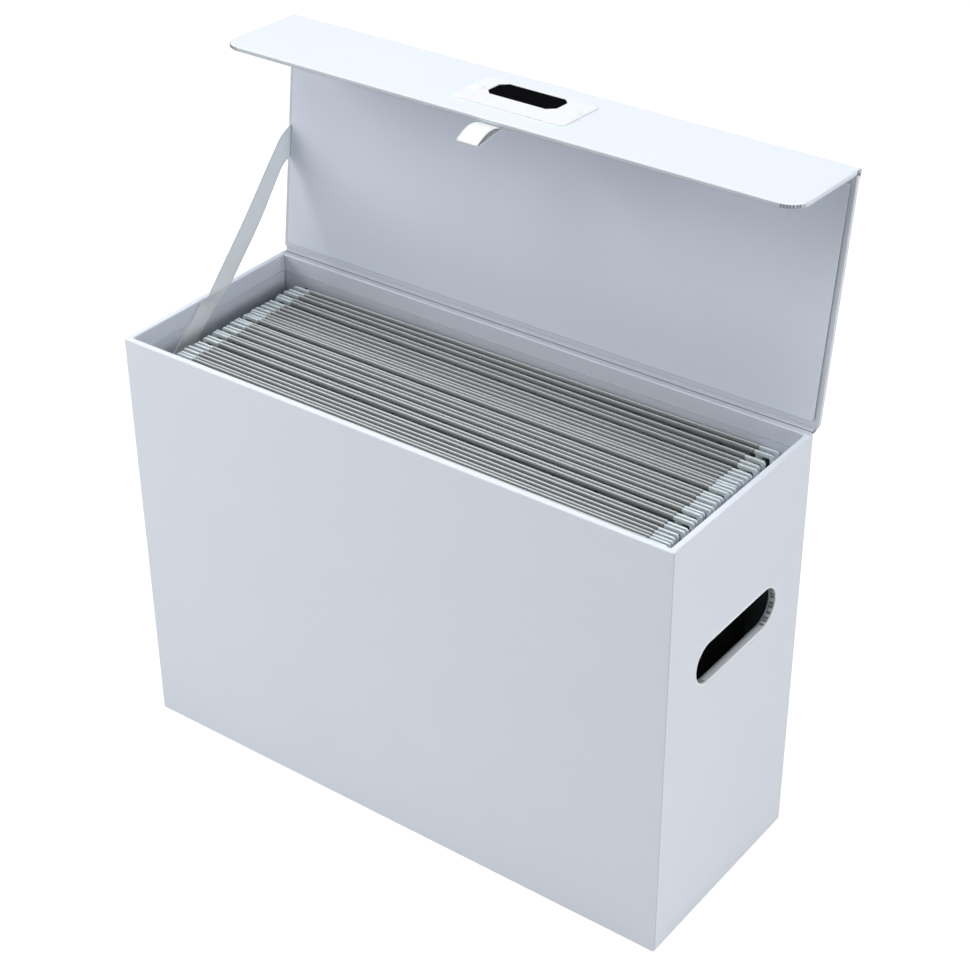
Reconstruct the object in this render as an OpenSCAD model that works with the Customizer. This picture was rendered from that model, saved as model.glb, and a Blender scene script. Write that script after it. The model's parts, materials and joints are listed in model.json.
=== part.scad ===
// Portable file box: a paper-wrapped board box with a lid, a front flap and hanging folders.
// The origin is the middle of the box's underside. X runs along the front, Y to the back, Z up.
// The lid stands open, held by the ribbon stay, and every length is in millimetres.

/* [Box] */
// Outer depth of the box, front to back
box_d = 133; // [128:1:200]
// Height of the box's rim above the floor
box_h = 256; // [254:1:320]
// Thickness of a wrapped wall board
wall_t = 3.5; // [2.5:0.1:4.5]
// Thickness of the floor board
floor_t = 3.5; // [2:0.1:4]
// Radius of the upright outer edges
edge_r = 2; // [0.5:0.1:2.4]

/* [Lining] */
// Thickness of the lining sheets inside the box
lining_t = 0.5; // [0.3:0.1:1]
// Bare band of turned-in cover between the rim and the lining
turn_in = 10; // [6:0.5:20]
// Clearance round the edges of each lining sheet
lining_gap = 0.5; // [0.3:0.1:1]

/* [Hand slots] */
// Length of a hand slot, front to back
slot_l = 78; // [60:1:95]
// Height of a hand slot
slot_h = 24; // [18:1:30]
// Distance from the rim down to the top of the slot
slot_drop = 75; // [64:1:120]

/* [Lid] */
// Angle that the lid is open, from closed
lid_open = 97.5; // [92:0.5:105]
// Thickness of the lid and flap boards
lid_t = 3; // [2:0.1:4]
// How far the lid stands out past each end of the box
lid_over = 1; // [0.5:0.1:3]
// Radius of the lid's corners at the hinge
lid_corner_r = 3; // [1:0.5:6]
// Thickness of the raised liner panel
liner_t = 0.9; // [0.5:0.1:1.5]
// Border between the liner and the lid's ends
liner_side = 3; // [2:0.5:12]
// Border between the liner and the hinge
liner_hinge = 4.9; // [3:0.1:10]
// Border between the liner and the flap's fold
liner_fold = 8; // [7:0.1:12]
// Radius of the liner's corners
liner_r = 2.5; // [1:0.5:5]
// Air between the closed liner and the rim
lid_seat_gap = 0.3; // [0.2:0.1:1]

/* [Hinge crease] */
// Radius of the bead of cover folded along the hinge
crease_r = 0.9; // [0.6:0.1:1.5]
// Depth of the hinge strip down the back wall
crease_leaf = 22; // [12:1:40]
// Thickness of the hinge strip
crease_t = 0.5; // [0.3:0.1:0.8]
// Air between the bead and the lid board
crease_gap = 0.5; // [0.3:0.1:0.8]

/* [Flap] */
// Length of the flap from its fold to its free edge
flap_len = 61; // [54:1:90]
// Angle between the lid and the flap with the lid open
flap_fold = 84.5; // [82:0.5:90]
// Air between the closed flap and the front wall
flap_air = 2.5; // [2.2:0.1:5]
// Radius of the flap's free corners
flap_r = 11; // [4:1:18]
// Air between the fold's bead and each board
fold_gap = 0.6; // [0.5:0.1:0.9]
// Thickness of the flap's lining sheet
flap_lining_t = 0.4; // [0.3:0.1:0.8]
// Border round the flap's lining sheet
flap_border = 4; // [3:0.5:8]

/* [Label holder] */
// Width of the label plate
plate_w = 70; // [68:1:90]
// Height of the label plate
plate_h = 34; // [32:1:40]
// Thickness of the label plate
plate_t = 0.8; // [0.6:0.1:1.2]
// Corner radius of the label plate
plate_r = 4; // [2:0.5:6]
// Distance from the fold to the middle of the plate
plate_from_fold = 30.3; // [24:0.1:36]
// Width of the plate's window
window_w = 43; // [30:1:45]
// Height of the plate's window
window_h = 18; // [12:1:19]
// Length of the window's cut corners, along each side
window_cut = 4; // [1:0.5:6]
// How far the window sits above the plate's middle, towards the fold
window_up = 5.5; // [0:0.5:6]
// How far the window sits to the left of the plate's middle
window_left = 2.5; // [0:0.5:3]
// Thickness of the blank label card
card_t = 0.3; // [0.2:0.1:0.4]
// Margin of the card behind the window's edge
card_margin = 1.5; // [1:0.5:2]
// Clearance round the card in its pocket
card_gap = 0.2; // [0.1:0.1:0.5]
// Distance between the two rivets
rivet_pitch = 60; // [54:1:61]
// Radius of a rivet's head
rivet_r = 3.4; // [2:0.1:3.5]
// Height of a rivet's domed head
rivet_h = 0.8; // [0.5:0.1:1.2]
// Radius of a rivet's shank
shank_r = 1.2; // [0.8:0.1:1.5]
// Radial clearance round a rivet's shank
shank_gap = 0.05; // [0.05:0.01:0.1]
// How far a shank goes into the flap board
shank_in = 2; // [1:0.1:2.5]

/* [Pull tab] */
// Width of the ribbon pull tab
tab_w = 13; // [8:1:20]
// How far the tab stands out past the flap's edge
tab_out = 19; // [10:1:30]
// Thickness of the folded tab
tab_t = 1; // [0.6:0.1:1.2]
// How far the tab's end hangs below its root
tab_droop = 1; // [0.4:0.1:1.1]
// How far the trim on the flap sits to the right of the middle
trim_x = 2; // [-5:0.5:5]

/* [Ribbon stay] */
// Width of the ribbon
ribbon_w = 12.7; // [8:0.1:14]
// Thickness of the ribbon
ribbon_t = 0.5; // [0.3:0.1:0.8]
// Distance from the hinge up the lid to the middle of the ribbon
ribbon_up = 67; // [50:1:90]
// Depth below the rim of the ribbon's glued end
ribbon_drop = 30; // [24:1:32]
// Distance from the box's middle forward to the ribbon's glued end
ribbon_fore = 32; // [20:1:38]
// Distance from the box's middle back to the ribbon's bend at the rim
ribbon_bend = 6.5; // [0:0.5:12]
// Run of the ribbon's last stretch, where it turns in to the lid
ribbon_turn = 7.5; // [4:0.5:12]
// Rise of the ribbon's last stretch
ribbon_lift = 3.5; // [2:0.5:5]
// Air between the ribbon and what it is glued to
ribbon_gap = 0.3; // [0.3:0.1:0.6]

/* [File rails] */
// Thickness of the rail's profile
rail_t = 1.5; // [1:0.1:2]
// Height of the rail's upright lip
rail_lip = 39; // [37:1:45]
// Height of the rail's flange against the end wall
rail_flange = 18; // [10:1:20]
// Clearance between the rails and the front and back linings
rail_gap = 0.5; // [0.3:0.1:2]

/* [Hanging folders] */
// Width of a folder's paper
file_w = 299; // [280:1:330]
// Height of a folder, top edge to bottom fold
file_h = 235; // [225:1:236]
// Depth of the folders' top edge below the rim
file_drop = 13.6; // [12:0.1:14]
// Thickness of the folder paper
paper_t = 0.35; // [0.2:0.05:0.4]
// Height of the flat joined stretch at a folder's bottom fold
fold_h = 4; // [2:1:10]
// Slit left by the score between a folder's two leaves, along its bottom fold
score_gap = 0.04; // [0.02:0.01:0.1]
// Number of folders
folder_count = 17; // [1:1:17]
// Skew of the rearmost folder, in degrees
last_skew = 0.8; // [0:0.1:0.8]
// Skew of the other folders, in degrees
folder_skew = 0.1; // [0:0.01:0.12]
// How far folders lie to the left or right of the middle
folder_shift = 0.6; // [0:0.1:0.8]
// Gap between the front lining and the first hanger
front_gap = 1.8; // [1.5:0.1:6]
// Gap between the back lining and the last hanger
rear_gap = 4.2; // [3.7:0.1:8]

/* [Hangers] */
// Thickness of a steel hanger strip
hanger_t = 0.8; // [0.5:0.05:0.8]
// Height of a hanger's hook at each end
hanger_h = 7; // [6:0.5:9]
// Height of the strip between the hooks, inside the paper
strip_h = 2.4; // [1.5:0.1:4]
// Distance from the paper's edge out to the step down to the hook
hook_step = 1; // [0.5:0.1:2]
// How far a hanger reaches past the paper at each end
hanger_reach = 12; // [11:0.5:13]
// Room between the hangers' tips and the end linings
tip_room = 12; // [8:0.5:20]
// Width of a hook's notch over the rail
notch_w = 4; // [3.7:0.1:4.5]
// Height of a hook's notch
notch_h = 4.5; // [3:0.5:5]
// Distance from a hanger's tip to its notch
notch_in = 2.6; // [2:0.1:3]
// Cut across the corners of a hanger's tip
tip_cut = 1.6; // [0.5:0.1:1.8]
// Clearance between a hanger and the paper round it
sleeve_gap = 0.05; // [0.05:0.01:0.1]
// Air between a hook and the rail that it hangs on
hook_gap = 0.3; // [0.2:0.1:0.5]

/* [Hidden] */
$fn = 64;

// Distance between the two hangers of each folder, from the back of the box forward, in relative lengths
openings = [5, 5.5, 6, 4, 3.5, 3, 5.5, 3.5, 3, 2.5, 3, 3, 3.5, 2.5, 2.5, 3, 3];
// Distance from each folder to the next one forward, in the same lengths
gaps = [5.5, 3.5, 3.5, 3.5, 2.5, 2.5, 2.5, 4.5, 4.5, 5.5, 6, 4, 3.5, 3, 3.5, 3.5];

// The box is as wide as the folders that hang in it need
inner_w = file_w + 2 * (hanger_reach + tip_room + lining_t);
box_w = inner_w + 2 * wall_t;
inner_d = box_d - 2 * wall_t;
lining_top = box_h - turn_in;
lining_low = floor_t + lining_t;
slot_z = box_h - slot_drop - slot_h / 2;

// The hinge runs along the middle of the bead on the back wall's outer face
hinge_y = box_d / 2 + crease_r;
hinge_z = box_h;
lid_w = box_w + 2 * lid_over;
lid_z = box_h + lid_seat_gap + liner_t;
lid_front = -box_d / 2 - flap_air - lid_t;
liner_w = lid_w - 2 * liner_side;

// The fold's bead lies midway through both boards, so that they turn about one line
fold_r = lid_t / 2;
fold_y = lid_front + fold_r;
fold_z = lid_z + lid_t - fold_r;
flap_low = lid_z + lid_t - flap_len;

rail_x = file_w / 2 + hanger_reach - notch_in - notch_w / 2;
hanger_top = box_h - file_drop - paper_t - sleeve_gap;
rail_top = hanger_top - hanger_h + notch_h - hook_gap;
sleeve_t = hanger_t + 2 * (sleeve_gap + paper_t);
sleeve_h = strip_h + 2 * (sleeve_gap + paper_t);
file_top = box_h - file_drop;
file_low = file_top - file_h;

function sum(list, n) = n <= 0 ? 0 : list[n - 1] + sum(list, n - 1);
files_span = sum(openings, folder_count) + sum(gaps, folder_count - 1);
files_room = inner_d - 2 * lining_t - front_gap - rear_gap;
files_scale = files_room / files_span;

// Place of folder k's rear hanger and the distance between its two hangers
function rear_y(k) = inner_d / 2 - lining_t - rear_gap
    - files_scale * (sum(openings, k - 1) + sum(gaps, k - 1));
function opening(k) = files_scale * openings[k - 1];
function folder_y(k) = rear_y(k) - opening(k) / 2;
function skew(k) = k == 1 ? last_skew : folder_skew * sin(77 * k);
function shift(k) = folder_shift * sin(131 * k);
function two_digits(k) = str(k < 10 ? "0" : "", k);

BOX_NODES = ["front_wall", "back_wall", "left_end_wall", "right_end_wall", "floor_board",
    "front_lining", "back_lining", "left_lining", "right_lining", "floor_lining",
    "left_rail", "right_rail", "lid_crease"];
LID_NODES = ["lid_board", "lid_liner", "flap_crease", "flap_board", "flap_lining",
    "label_plate", "label_card", "label_rivets", "pull_tab", "ribbon_stay"];
FILE_NODES = [for (k = [1 : folder_count]) each [str("folder_", two_digits(k)), str("hangers_", two_digits(k))]];

cover_white = "#e9edf2";
lining_grey = "#c3c8d0";
rail_black = "#1b1b1d";
folder_grey = "#8d9096";
hanger_grey = "#b9c4c9";
ribbon_grey = "#c4c9cd";
card_black = "#141416";

// An outline drawn in Y and Z, made t thick along X from x0
module from_side(x0, t) {
    translate([x0, 0, 0]) rotate([90, 0, 90]) linear_extrude(height = t) children();
}

// An outline drawn in X and Z, made t thick along Y from y0
module from_front(y0, t) {
    translate([0, y0 + t, 0]) rotate([90, 0, 0]) linear_extrude(height = t) children();
}

// A rectangle with rounded corners, centred
module round_rect(w, h, r) {
    square([w - 2 * r, h], center = true);
    square([w, h - 2 * r], center = true);
    for (x = [-1, 1], y = [-1, 1])
        translate([x * (w / 2 - r), y * (h / 2 - r)]) circle(r = r);
}

// A rectangle from [x0, y0] that is rounded at its two corners of highest y
module tongue(w, h, r) {
    translate([-w / 2, 0]) square([w, h - r]);
    translate([-w / 2 + r, 0]) square([w - 2 * r, h]);
    for (x = [-1, 1])
        translate([x * (w / 2 - r), h - r]) circle(r = r);
}

// The box's outline from above, with its upright edges rounded
module box_plan() {
    round_rect(box_w, box_d, edge_r);
}

module slot_outline() {
    translate([0, slot_z]) {
        square([slot_l - slot_h, slot_h], center = true);
        for (y = [-1, 1])
            translate([y * (slot_l - slot_h) / 2, 0]) circle(d = slot_h);
    }
}

module long_wall(y0) {
    color(cover_white) linear_extrude(height = box_h) intersection() {
        box_plan();
        translate([-box_w / 2, y0]) square([box_w, wall_t]);
    }
}

module front_wall() {
    long_wall(-box_d / 2);
}

module back_wall() {
    long_wall(box_d / 2 - wall_t);
}

module end_wall(x0) {
    color(cover_white) from_side(x0, wall_t) difference() {
        translate([-inner_d / 2, 0]) square([inner_d, box_h]);
        slot_outline();
    }
}

module left_end_wall() {
    end_wall(-box_w / 2);
}

module right_end_wall() {
    end_wall(box_w / 2 - wall_t);
}

module floor_board() {
    color(cover_white) translate([-inner_w / 2, -inner_d / 2, 0]) cube([inner_w, inner_d, floor_t]);
}

module long_lining(y0) {
    color(lining_grey) from_front(y0, lining_t)
        translate([-inner_w / 2 + lining_t, lining_low])
            square([inner_w - 2 * lining_t, lining_top - lining_low]);
}

module front_lining() {
    long_lining(-inner_d / 2);
}

module back_lining() {
    long_lining(inner_d / 2 - lining_t);
}

module end_lining(x0) {
    color(lining_grey) from_side(x0, lining_t) difference() {
        translate([-inner_d / 2 + lining_t + lining_gap, lining_low])
            square([inner_d - 2 * (lining_t + lining_gap), lining_top - lining_low]);
        slot_outline();
    }
}

module left_lining() {
    end_lining(-inner_w / 2);
}

module right_lining() {
    end_lining(inner_w / 2 - lining_t);
}

module floor_lining() {
    color(lining_grey) translate([-inner_w / 2 + lining_gap, -inner_d / 2 + lining_gap, floor_t])
        cube([inner_w - 2 * lining_gap, inner_d - 2 * lining_gap, lining_t]);
}

// The rail's profile: a flange on the end wall, a shelf and an upright lip that carries the hooks
module rail_profile() {
    outer = inner_w / 2 - lining_t;
    inner = rail_x - rail_t / 2;
    low = rail_top - rail_lip;
    translate([outer - rail_t, low]) square([rail_t, rail_flange]);
    translate([inner, low]) square([outer - inner, rail_t]);
    translate([inner, low]) square([rail_t, rail_lip]);
}

module right_rail() {
    length = inner_d - 2 * (lining_t + rail_gap);
    color(rail_black) from_front(-length / 2, length) rail_profile();
}

module left_rail() {
    mirror([1, 0, 0]) right_rail();
}

module lid_crease() {
    color(cover_white) {
        translate([-box_w / 2, hinge_y, hinge_z]) rotate([0, 90, 0]) cylinder(r = crease_r, h = box_w);
        translate([-box_w / 2, box_d / 2, hinge_z - crease_leaf]) cube([box_w, crease_t, crease_leaf]);
    }
}

// Turns what is drawn on the closed lid to the open lid
module on_lid() {
    translate([0, hinge_y, hinge_z]) rotate([-lid_open, 0, 0]) translate([0, -hinge_y, -hinge_z]) children();
}

// Turns what is drawn on the closed flap to the flap as it hangs from the open lid
module on_flap() {
    on_lid() translate([0, fold_y, fold_z]) rotate([90 - flap_fold, 0, 0])
        translate([0, -fold_y, -fold_z]) children();
}

module lid_board() {
    back = hinge_y - sqrt(max(0, pow(crease_r + crease_gap, 2) - pow(lid_z - hinge_z, 2)));
    front = fold_y + fold_r + fold_gap;
    color(cover_white) on_lid() translate([0, front, lid_z]) linear_extrude(height = lid_t)
        tongue(lid_w, back - front, lid_corner_r);
}

module lid_liner() {
    back = hinge_y - liner_hinge;
    front = lid_front + liner_fold;
    color(lining_grey) on_lid() translate([0, (back + front) / 2, lid_z - liner_t])
        linear_extrude(height = liner_t) round_rect(liner_w, back - front, liner_r);
}

module flap_crease() {
    color(cover_white) on_flap() translate([-lid_w / 2, fold_y, fold_z]) rotate([0, 90, 0])
        cylinder(r = fold_r, h = lid_w);
}

// Turns an outline whose y runs down the flap from the fold's outer edge to the outline seen from the front
module down_flap() {
    translate([0, lid_z + lid_t]) mirror([0, 1]) children();
}

module at_rivets() {
    for (x = [-1, 1])
        translate([trim_x + x * rivet_pitch / 2, lid_front, lid_z + lid_t - plate_from_fold])
            rotate([90, 0, 0]) children();
}

module flap_board() {
    start = 2 * fold_r + fold_gap;
    color(cover_white) on_flap() difference() {
        from_front(lid_front, lid_t) down_flap() translate([0, start]) tongue(lid_w, flap_len - start, flap_r);
        at_rivets() translate([0, 0, -shank_in]) cylinder(r = shank_r + shank_gap, h = 2 * shank_in);
    }
}

module flap_lining() {
    start = 2 * fold_r + fold_gap + flap_border;
    color(lining_grey) on_flap() from_front(lid_front + lid_t, flap_lining_t)
        down_flap() translate([0, start])
            tongue(lid_w - 2 * flap_border, flap_len - flap_border - start, flap_r - flap_border / 2);
}

module window_outline(grow) {
    w = window_w + 2 * grow;
    h = window_h + 2 * grow;
    translate([-window_left, -window_up]) polygon([
        [-w / 2 + window_cut, -h / 2], [w / 2 - window_cut, -h / 2],
        [w / 2, -h / 2 + window_cut], [w / 2, h / 2 - window_cut],
        [w / 2 - window_cut, h / 2], [-w / 2 + window_cut, h / 2],
        [-w / 2, h / 2 - window_cut], [-w / 2, -h / 2 + window_cut]]);
}

// An outline about the middle of the label plate, made t thick outwards from depth y0 in front of the flap
module on_plate(y0, t) {
    on_flap() from_front(lid_front - y0 - t, t) down_flap() translate([trim_x, plate_from_fold]) children();
}

module label_plate() {
    color(cover_white) difference() {
        on_plate(0, plate_t) difference() {
            round_rect(plate_w, plate_h, plate_r);
            window_outline(0);
        }
        on_plate(-card_t, 2 * card_t) window_outline(card_margin + card_gap);
        on_flap() at_rivets() translate([0, 0, -plate_t]) cylinder(r = shank_r + shank_gap, h = 3 * plate_t);
    }
}

module label_card() {
    color(card_black) on_plate(0, card_t) window_outline(card_margin);
}

// A rivet with a domed head on the plate and a shank into the flap board
module label_rivets() {
    dome_r = (rivet_r * rivet_r + rivet_h * rivet_h) / (2 * rivet_h);
    color(cover_white) on_flap() at_rivets() {
        translate([0, 0, plate_t]) intersection() {
            translate([0, 0, rivet_h - dome_r]) sphere(r = dome_r);
            cylinder(r = 2 * rivet_r, h = rivet_h);
        }
        translate([0, 0, -shank_in]) cylinder(r = shank_r, h = shank_in + plate_t + rivet_h / 2);
    }
}

// The folded ribbon lies under the flap's edge and droops along an arc
module pull_tab() {
    root = flap_border - ribbon_gap;
    top = lid_front + lid_t;
    length = root + tab_out;
    arc_r = (length * length + tab_droop * tab_droop) / (2 * tab_droop);
    color(ribbon_grey) on_flap() translate([0, 0, flap_low + root])
        from_side(trim_x - tab_w / 2, tab_w) intersection() {
            translate([top, -length]) square([tab_t + tab_droop, length]);
            difference() {
                translate([top + arc_r, 0]) circle(r = arc_r, $fn = 360);
                translate([top + tab_t + arc_r, 0]) circle(r = arc_r, $fn = 360);
            }
        }
}

// The side at distance h from a run of points, where h may be negative
function unit(v) = v / norm(v);
function left_of(v) = [-v[1], v[0]];
function side_dir(p, i) = left_of(unit(p[i + 1] - p[i]));
function side_point(p, i, h) = i == 0 ? p[0] + h * side_dir(p, 0)
    : i == len(p) - 1 ? p[i] + h * side_dir(p, i - 1)
    : p[i] + h * unit(side_dir(p, i - 1) + side_dir(p, i)) / cos_half(side_dir(p, i - 1), side_dir(p, i));
function cos_half(a, b) = norm(a + b) / 2;

// The ribbon runs from inside the left wall over a bend at the rim to the lid's liner, in the plane of the end wall
module ribbon_stay() {
    lid_end = [hinge_y - ribbon_up * cos(lid_open), hinge_z + ribbon_up * sin(lid_open)];
    turn = [ribbon_turn, ribbon_lift];
    path = [[-ribbon_fore, box_h - ribbon_drop], [ribbon_bend, box_h], lid_end - turn, lid_end + turn];
    last = len(path) - 1;
    color(ribbon_grey) from_side(-inner_w / 2 + lining_t + ribbon_gap, ribbon_t) difference() {
        polygon(concat(
            [for (i = [0 : last]) side_point(path, i, ribbon_w / 2)],
            [for (i = [0 : last]) side_point(path, last - i, -ribbon_w / 2)]));
        // What would reach behind the open liner's face is cut off
        translate([hinge_y, hinge_z]) rotate([0, 0, -lid_open])
            translate([-2 * ribbon_up, lid_seat_gap - ribbon_gap]) square([4 * ribbon_up, ribbon_up]);
    }
}

// Places what is drawn about the middle of folder k
module at_folder(k) {
    translate([shift(k), folder_y(k), 0]) rotate([0, 0, skew(k)]) children();
}

// One leaf of a folder, seen from the side: a sleeve round its hanger and a sheet down to the bottom fold
module leaf_outline(side, k) {
    top_y = side * opening(k) / 2;
    sleeve_low = file_top - sleeve_h;
    difference() {
        translate([top_y - sleeve_t / 2, sleeve_low]) square([sleeve_t, sleeve_h]);
        translate([top_y - sleeve_t / 2 + paper_t, sleeve_low + paper_t])
            square([sleeve_t - 2 * paper_t, sleeve_h - 2 * paper_t]);
    }
    low_y = side * (score_gap + paper_t) / 2;
    polygon([
        [top_y - paper_t / 2, sleeve_low + paper_t / 2], [top_y + paper_t / 2, sleeve_low + paper_t / 2],
        [low_y + paper_t / 2, file_low + fold_h], [low_y + paper_t / 2, file_low],
        [low_y - paper_t / 2, file_low], [low_y - paper_t / 2, file_low + fold_h]]);
}

module folder(k) {
    color(folder_grey) at_folder(k)
        for (side = [-1, 1]) from_side(-file_w / 2, file_w) leaf_outline(side, k);
}

// A hanger strip seen from the front, with a hook at each end that has a notch over the rail and a cut tip
module hanger_outline() {
    half = file_w / 2 + hanger_reach;
    low = hanger_top - hanger_h;
    strip_w = file_w + 2 * hook_step;
    difference() {
        polygon([
            [-half, low + tip_cut], [-half + tip_cut, low], [half - tip_cut, low], [half, low + tip_cut],
            [half, hanger_top - tip_cut], [half - tip_cut, hanger_top],
            [-half + tip_cut, hanger_top], [-half, hanger_top - tip_cut]]);
        translate([-strip_w / 2, low - strip_h]) square([strip_w, hanger_h]);
        for (x = [-1, 1])
            translate([x * rail_x - notch_w / 2, low - notch_h]) square([notch_w, 2 * notch_h]);
    }
}

module hangers(k) {
    color(hanger_grey) at_folder(k)
        for (side = [-1, 1]) from_front(side * opening(k) / 2 - hanger_t / 2, hanger_t) hanger_outline();
}

front_wall();
back_wall();
left_end_wall();
right_end_wall();
floor_board();
front_lining();
back_lining();
left_lining();
right_lining();
floor_lining();
left_rail();
right_rail();
lid_crease();
lid_board();
lid_liner();
flap_crease();
flap_board();
flap_lining();
label_plate();
label_card();
label_rivets();
pull_tab();
ribbon_stay();
for (k = [1 : folder_count]) {
    folder(k);
    hangers(k);
}
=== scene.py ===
import json
import math

import bmesh
import bpy
from mathutils import Matrix, Vector, noise


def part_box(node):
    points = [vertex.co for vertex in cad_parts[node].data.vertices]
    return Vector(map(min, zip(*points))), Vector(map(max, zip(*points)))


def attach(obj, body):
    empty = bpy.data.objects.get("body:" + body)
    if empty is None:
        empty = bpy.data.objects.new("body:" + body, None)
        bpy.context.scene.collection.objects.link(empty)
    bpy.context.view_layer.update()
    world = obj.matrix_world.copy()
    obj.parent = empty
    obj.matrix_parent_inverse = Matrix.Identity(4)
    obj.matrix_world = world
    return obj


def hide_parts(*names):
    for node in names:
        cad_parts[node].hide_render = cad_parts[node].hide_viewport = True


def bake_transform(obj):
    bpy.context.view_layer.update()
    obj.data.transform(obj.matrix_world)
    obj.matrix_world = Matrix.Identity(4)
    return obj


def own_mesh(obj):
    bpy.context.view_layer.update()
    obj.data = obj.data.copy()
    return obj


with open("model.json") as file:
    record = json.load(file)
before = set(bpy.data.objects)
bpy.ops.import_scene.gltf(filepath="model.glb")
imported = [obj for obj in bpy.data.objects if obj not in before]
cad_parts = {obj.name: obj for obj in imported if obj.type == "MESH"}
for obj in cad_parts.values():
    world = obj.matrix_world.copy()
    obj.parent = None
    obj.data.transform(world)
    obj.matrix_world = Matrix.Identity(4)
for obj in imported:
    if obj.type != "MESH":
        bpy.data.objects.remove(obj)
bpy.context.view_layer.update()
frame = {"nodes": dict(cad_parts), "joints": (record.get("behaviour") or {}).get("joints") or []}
mm = 0.001
nodes = frame["nodes"]
joints = {j["name"]: j for j in frame["joints"]}
print("frame loaded:", len(nodes), "nodes")

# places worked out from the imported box
frontLow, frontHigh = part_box("front_wall")
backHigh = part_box("back_wall")[1]
boxW = frontHigh.x - frontLow.x
boxD = backHigh.y - frontLow.y
boxH = frontHigh.z
wallT = frontHigh.y - frontLow.y
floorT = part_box("floor_board")[1].z
innerW = boxW - 2 * wallT
innerD = boxD - 2 * wallT
hingeAt = Vector(joints["lid_hinge"]["pos_m"])
foldAt = Vector(joints["flap_fold"]["pos_m"])
lidOpen = math.radians(-joints["lid_hinge"]["range_deg"][0])
flapIn = math.radians(joints["fold_turn"]["range_deg"][1])


def turnAbout(point, angle):
    return Matrix.Translation(point) @ Matrix.Rotation(angle, 4, "X") @ Matrix.Translation(-point)


# the lid and flap are drawn shut, lying over the box, and then turned to the open lid
upright = Matrix.Identity(4)
lidTurn = turnAbout(hingeAt, -lidOpen)
foldShut = lidTurn.inverted() @ foldAt
flapTurn = lidTurn @ turnAbout(foldShut, flapIn)


def shutBox(name, turn):
    back = turn.inverted()
    places = [back @ v.co for v in nodes[name].data.vertices]
    low = Vector([min(p[i] for p in places) for i in range(3)])
    high = Vector([max(p[i] for p in places) for i in range(3)])
    return low, high


# an outline's U and V and its depth T, laid in the box's X, Y and Z
def lying(u, v, t):
    return u, v, t


def standing(u, v, t):
    return u, t, v


def sideways(u, v, t):
    return t, u, v


# what a piece moves with and the solids that it stands for; the finish slot is not used
def settle(piece, body, slot, *replaced):
    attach(piece, body)
    if replaced:
        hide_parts(*replaced)


def finishNode(name, material):
    nodes[name].data.materials.clear()
    nodes[name].data.materials.append(material)


# mesh helpers
def makeObject(name, mesh, material=None):
    obj = bpy.data.objects.new(name, mesh)
    bpy.context.scene.collection.objects.link(obj)
    if material:
        mesh.materials.clear()
        mesh.materials.append(material)
    return obj


def meshFrom(name, points, faces, mergeAt=1e-7):
    mesh = bpy.data.meshes.new(name)
    mesh.from_pydata([tuple(p) for p in points], [], faces)
    bm = bmesh.new()
    bm.from_mesh(mesh)
    if mergeAt:
        bmesh.ops.remove_doubles(bm, verts=bm.verts, dist=mergeAt)
    bmesh.ops.recalc_face_normals(bm, faces=bm.faces)
    loose = [v for v in bm.verts if not v.link_faces]
    bmesh.ops.delete(bm, geom=loose, context="VERTS")
    bm.to_mesh(mesh)
    bm.free()
    return mesh


def wallFaces(rings, around, closed=False):
    # quads between closed rings of points that follow one another
    faces = []
    for i in range(rings if closed else rings - 1):
        a, b = i * around, (i + 1) % rings * around
        for k in range(around):
            m = (k + 1) % around
            faces.append([a + k, a + m, b + m, b + k])
    return faces


def slabFaces(rings, around):
    # the walls between the rings, and each end ring filled with a row of quads
    faces = wallFaces(rings, around)
    for j in range(around // 2 - 1):
        end = [j, j + 1, around - 2 - j, around - 1 - j]
        faces += [end, [(rings - 1) * around + q for q in end]]
    return faces


def smoothShade(mesh, angle=40):
    mesh.shade_smooth()
    mesh.set_sharp_from_angle(angle=math.radians(angle))


def applyModifiers(obj):
    depsgraph = bpy.context.evaluated_depsgraph_get()
    mesh = bpy.data.meshes.new_from_object(obj.evaluated_get(depsgraph), depsgraph=depsgraph)
    obj.modifiers.clear()
    old = obj.data
    obj.data = mesh
    bpy.data.meshes.remove(old)
    return obj


def arc(cx, cy, r, start, end, steps):
    turns = [math.radians(start + (end - start) * i / steps) for i in range(steps + 1)]
    return [(cx + r * math.cos(t), cy + r * math.sin(t)) for t in turns]


def roundRect(x0, y0, x1, y1, radii, steps=10):
    points = []
    corners = [(x0, y0, 180), (x1, y0, 270), (x1, y1, 0), (x0, y1, 90)]
    for (x, y, start), r in zip(corners, radii):
        cx = x + r if x == x0 else x - r
        cy = y + r if y == y0 else y - r
        points += arc(cx, cy, r, start, start + 90, steps) if r > 0 else [(x, y)]
    return points


def stadium(cx, cy, length, height, steps=20):
    half = (length - height) / 2
    right = arc(cx + half, cy, height / 2, -90, 90, steps)
    return right + arc(cx - half, cy, height / 2, 90, 270, steps)


def prism(outline, place, t0, t1):
    count = len(outline)
    points = [place(u, v, t) for t in (t0, t1) for u, v in outline]
    faces = [list(range(count)), list(range(count, 2 * count))] + wallFaces(2, count)
    return meshFrom("prism", points, faces)


def roundEdges(obj, radius, segments=4, angle=40, cutters=()):
    for cutter in cutters:
        cut = obj.modifiers.new("cut", "BOOLEAN")
        cut.object = cutter
        cut.operation = "DIFFERENCE"
        cut.solver = "EXACT"
    bevel = obj.modifiers.new("round", "BEVEL")
    bevel.width = radius
    bevel.segments = segments
    bevel.limit_method = "ANGLE"
    bevel.angle_limit = math.radians(angle)
    bevel.harden_normals = True
    obj.data.shade_smooth()
    applyModifiers(obj)
    for cutter in cutters:
        bpy.data.objects.remove(cutter)
    return obj


def turned(obj, turn):
    obj.data.transform(turn)
    return obj


def paintFaces(obj, material, chosen):
    # gives the faces that pass the test a second finish
    obj.data.materials.append(material)
    for polygon in obj.data.polygons:
        if chosen(polygon.normal, polygon.center):
            polygon.material_index = len(obj.data.materials) - 1


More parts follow.
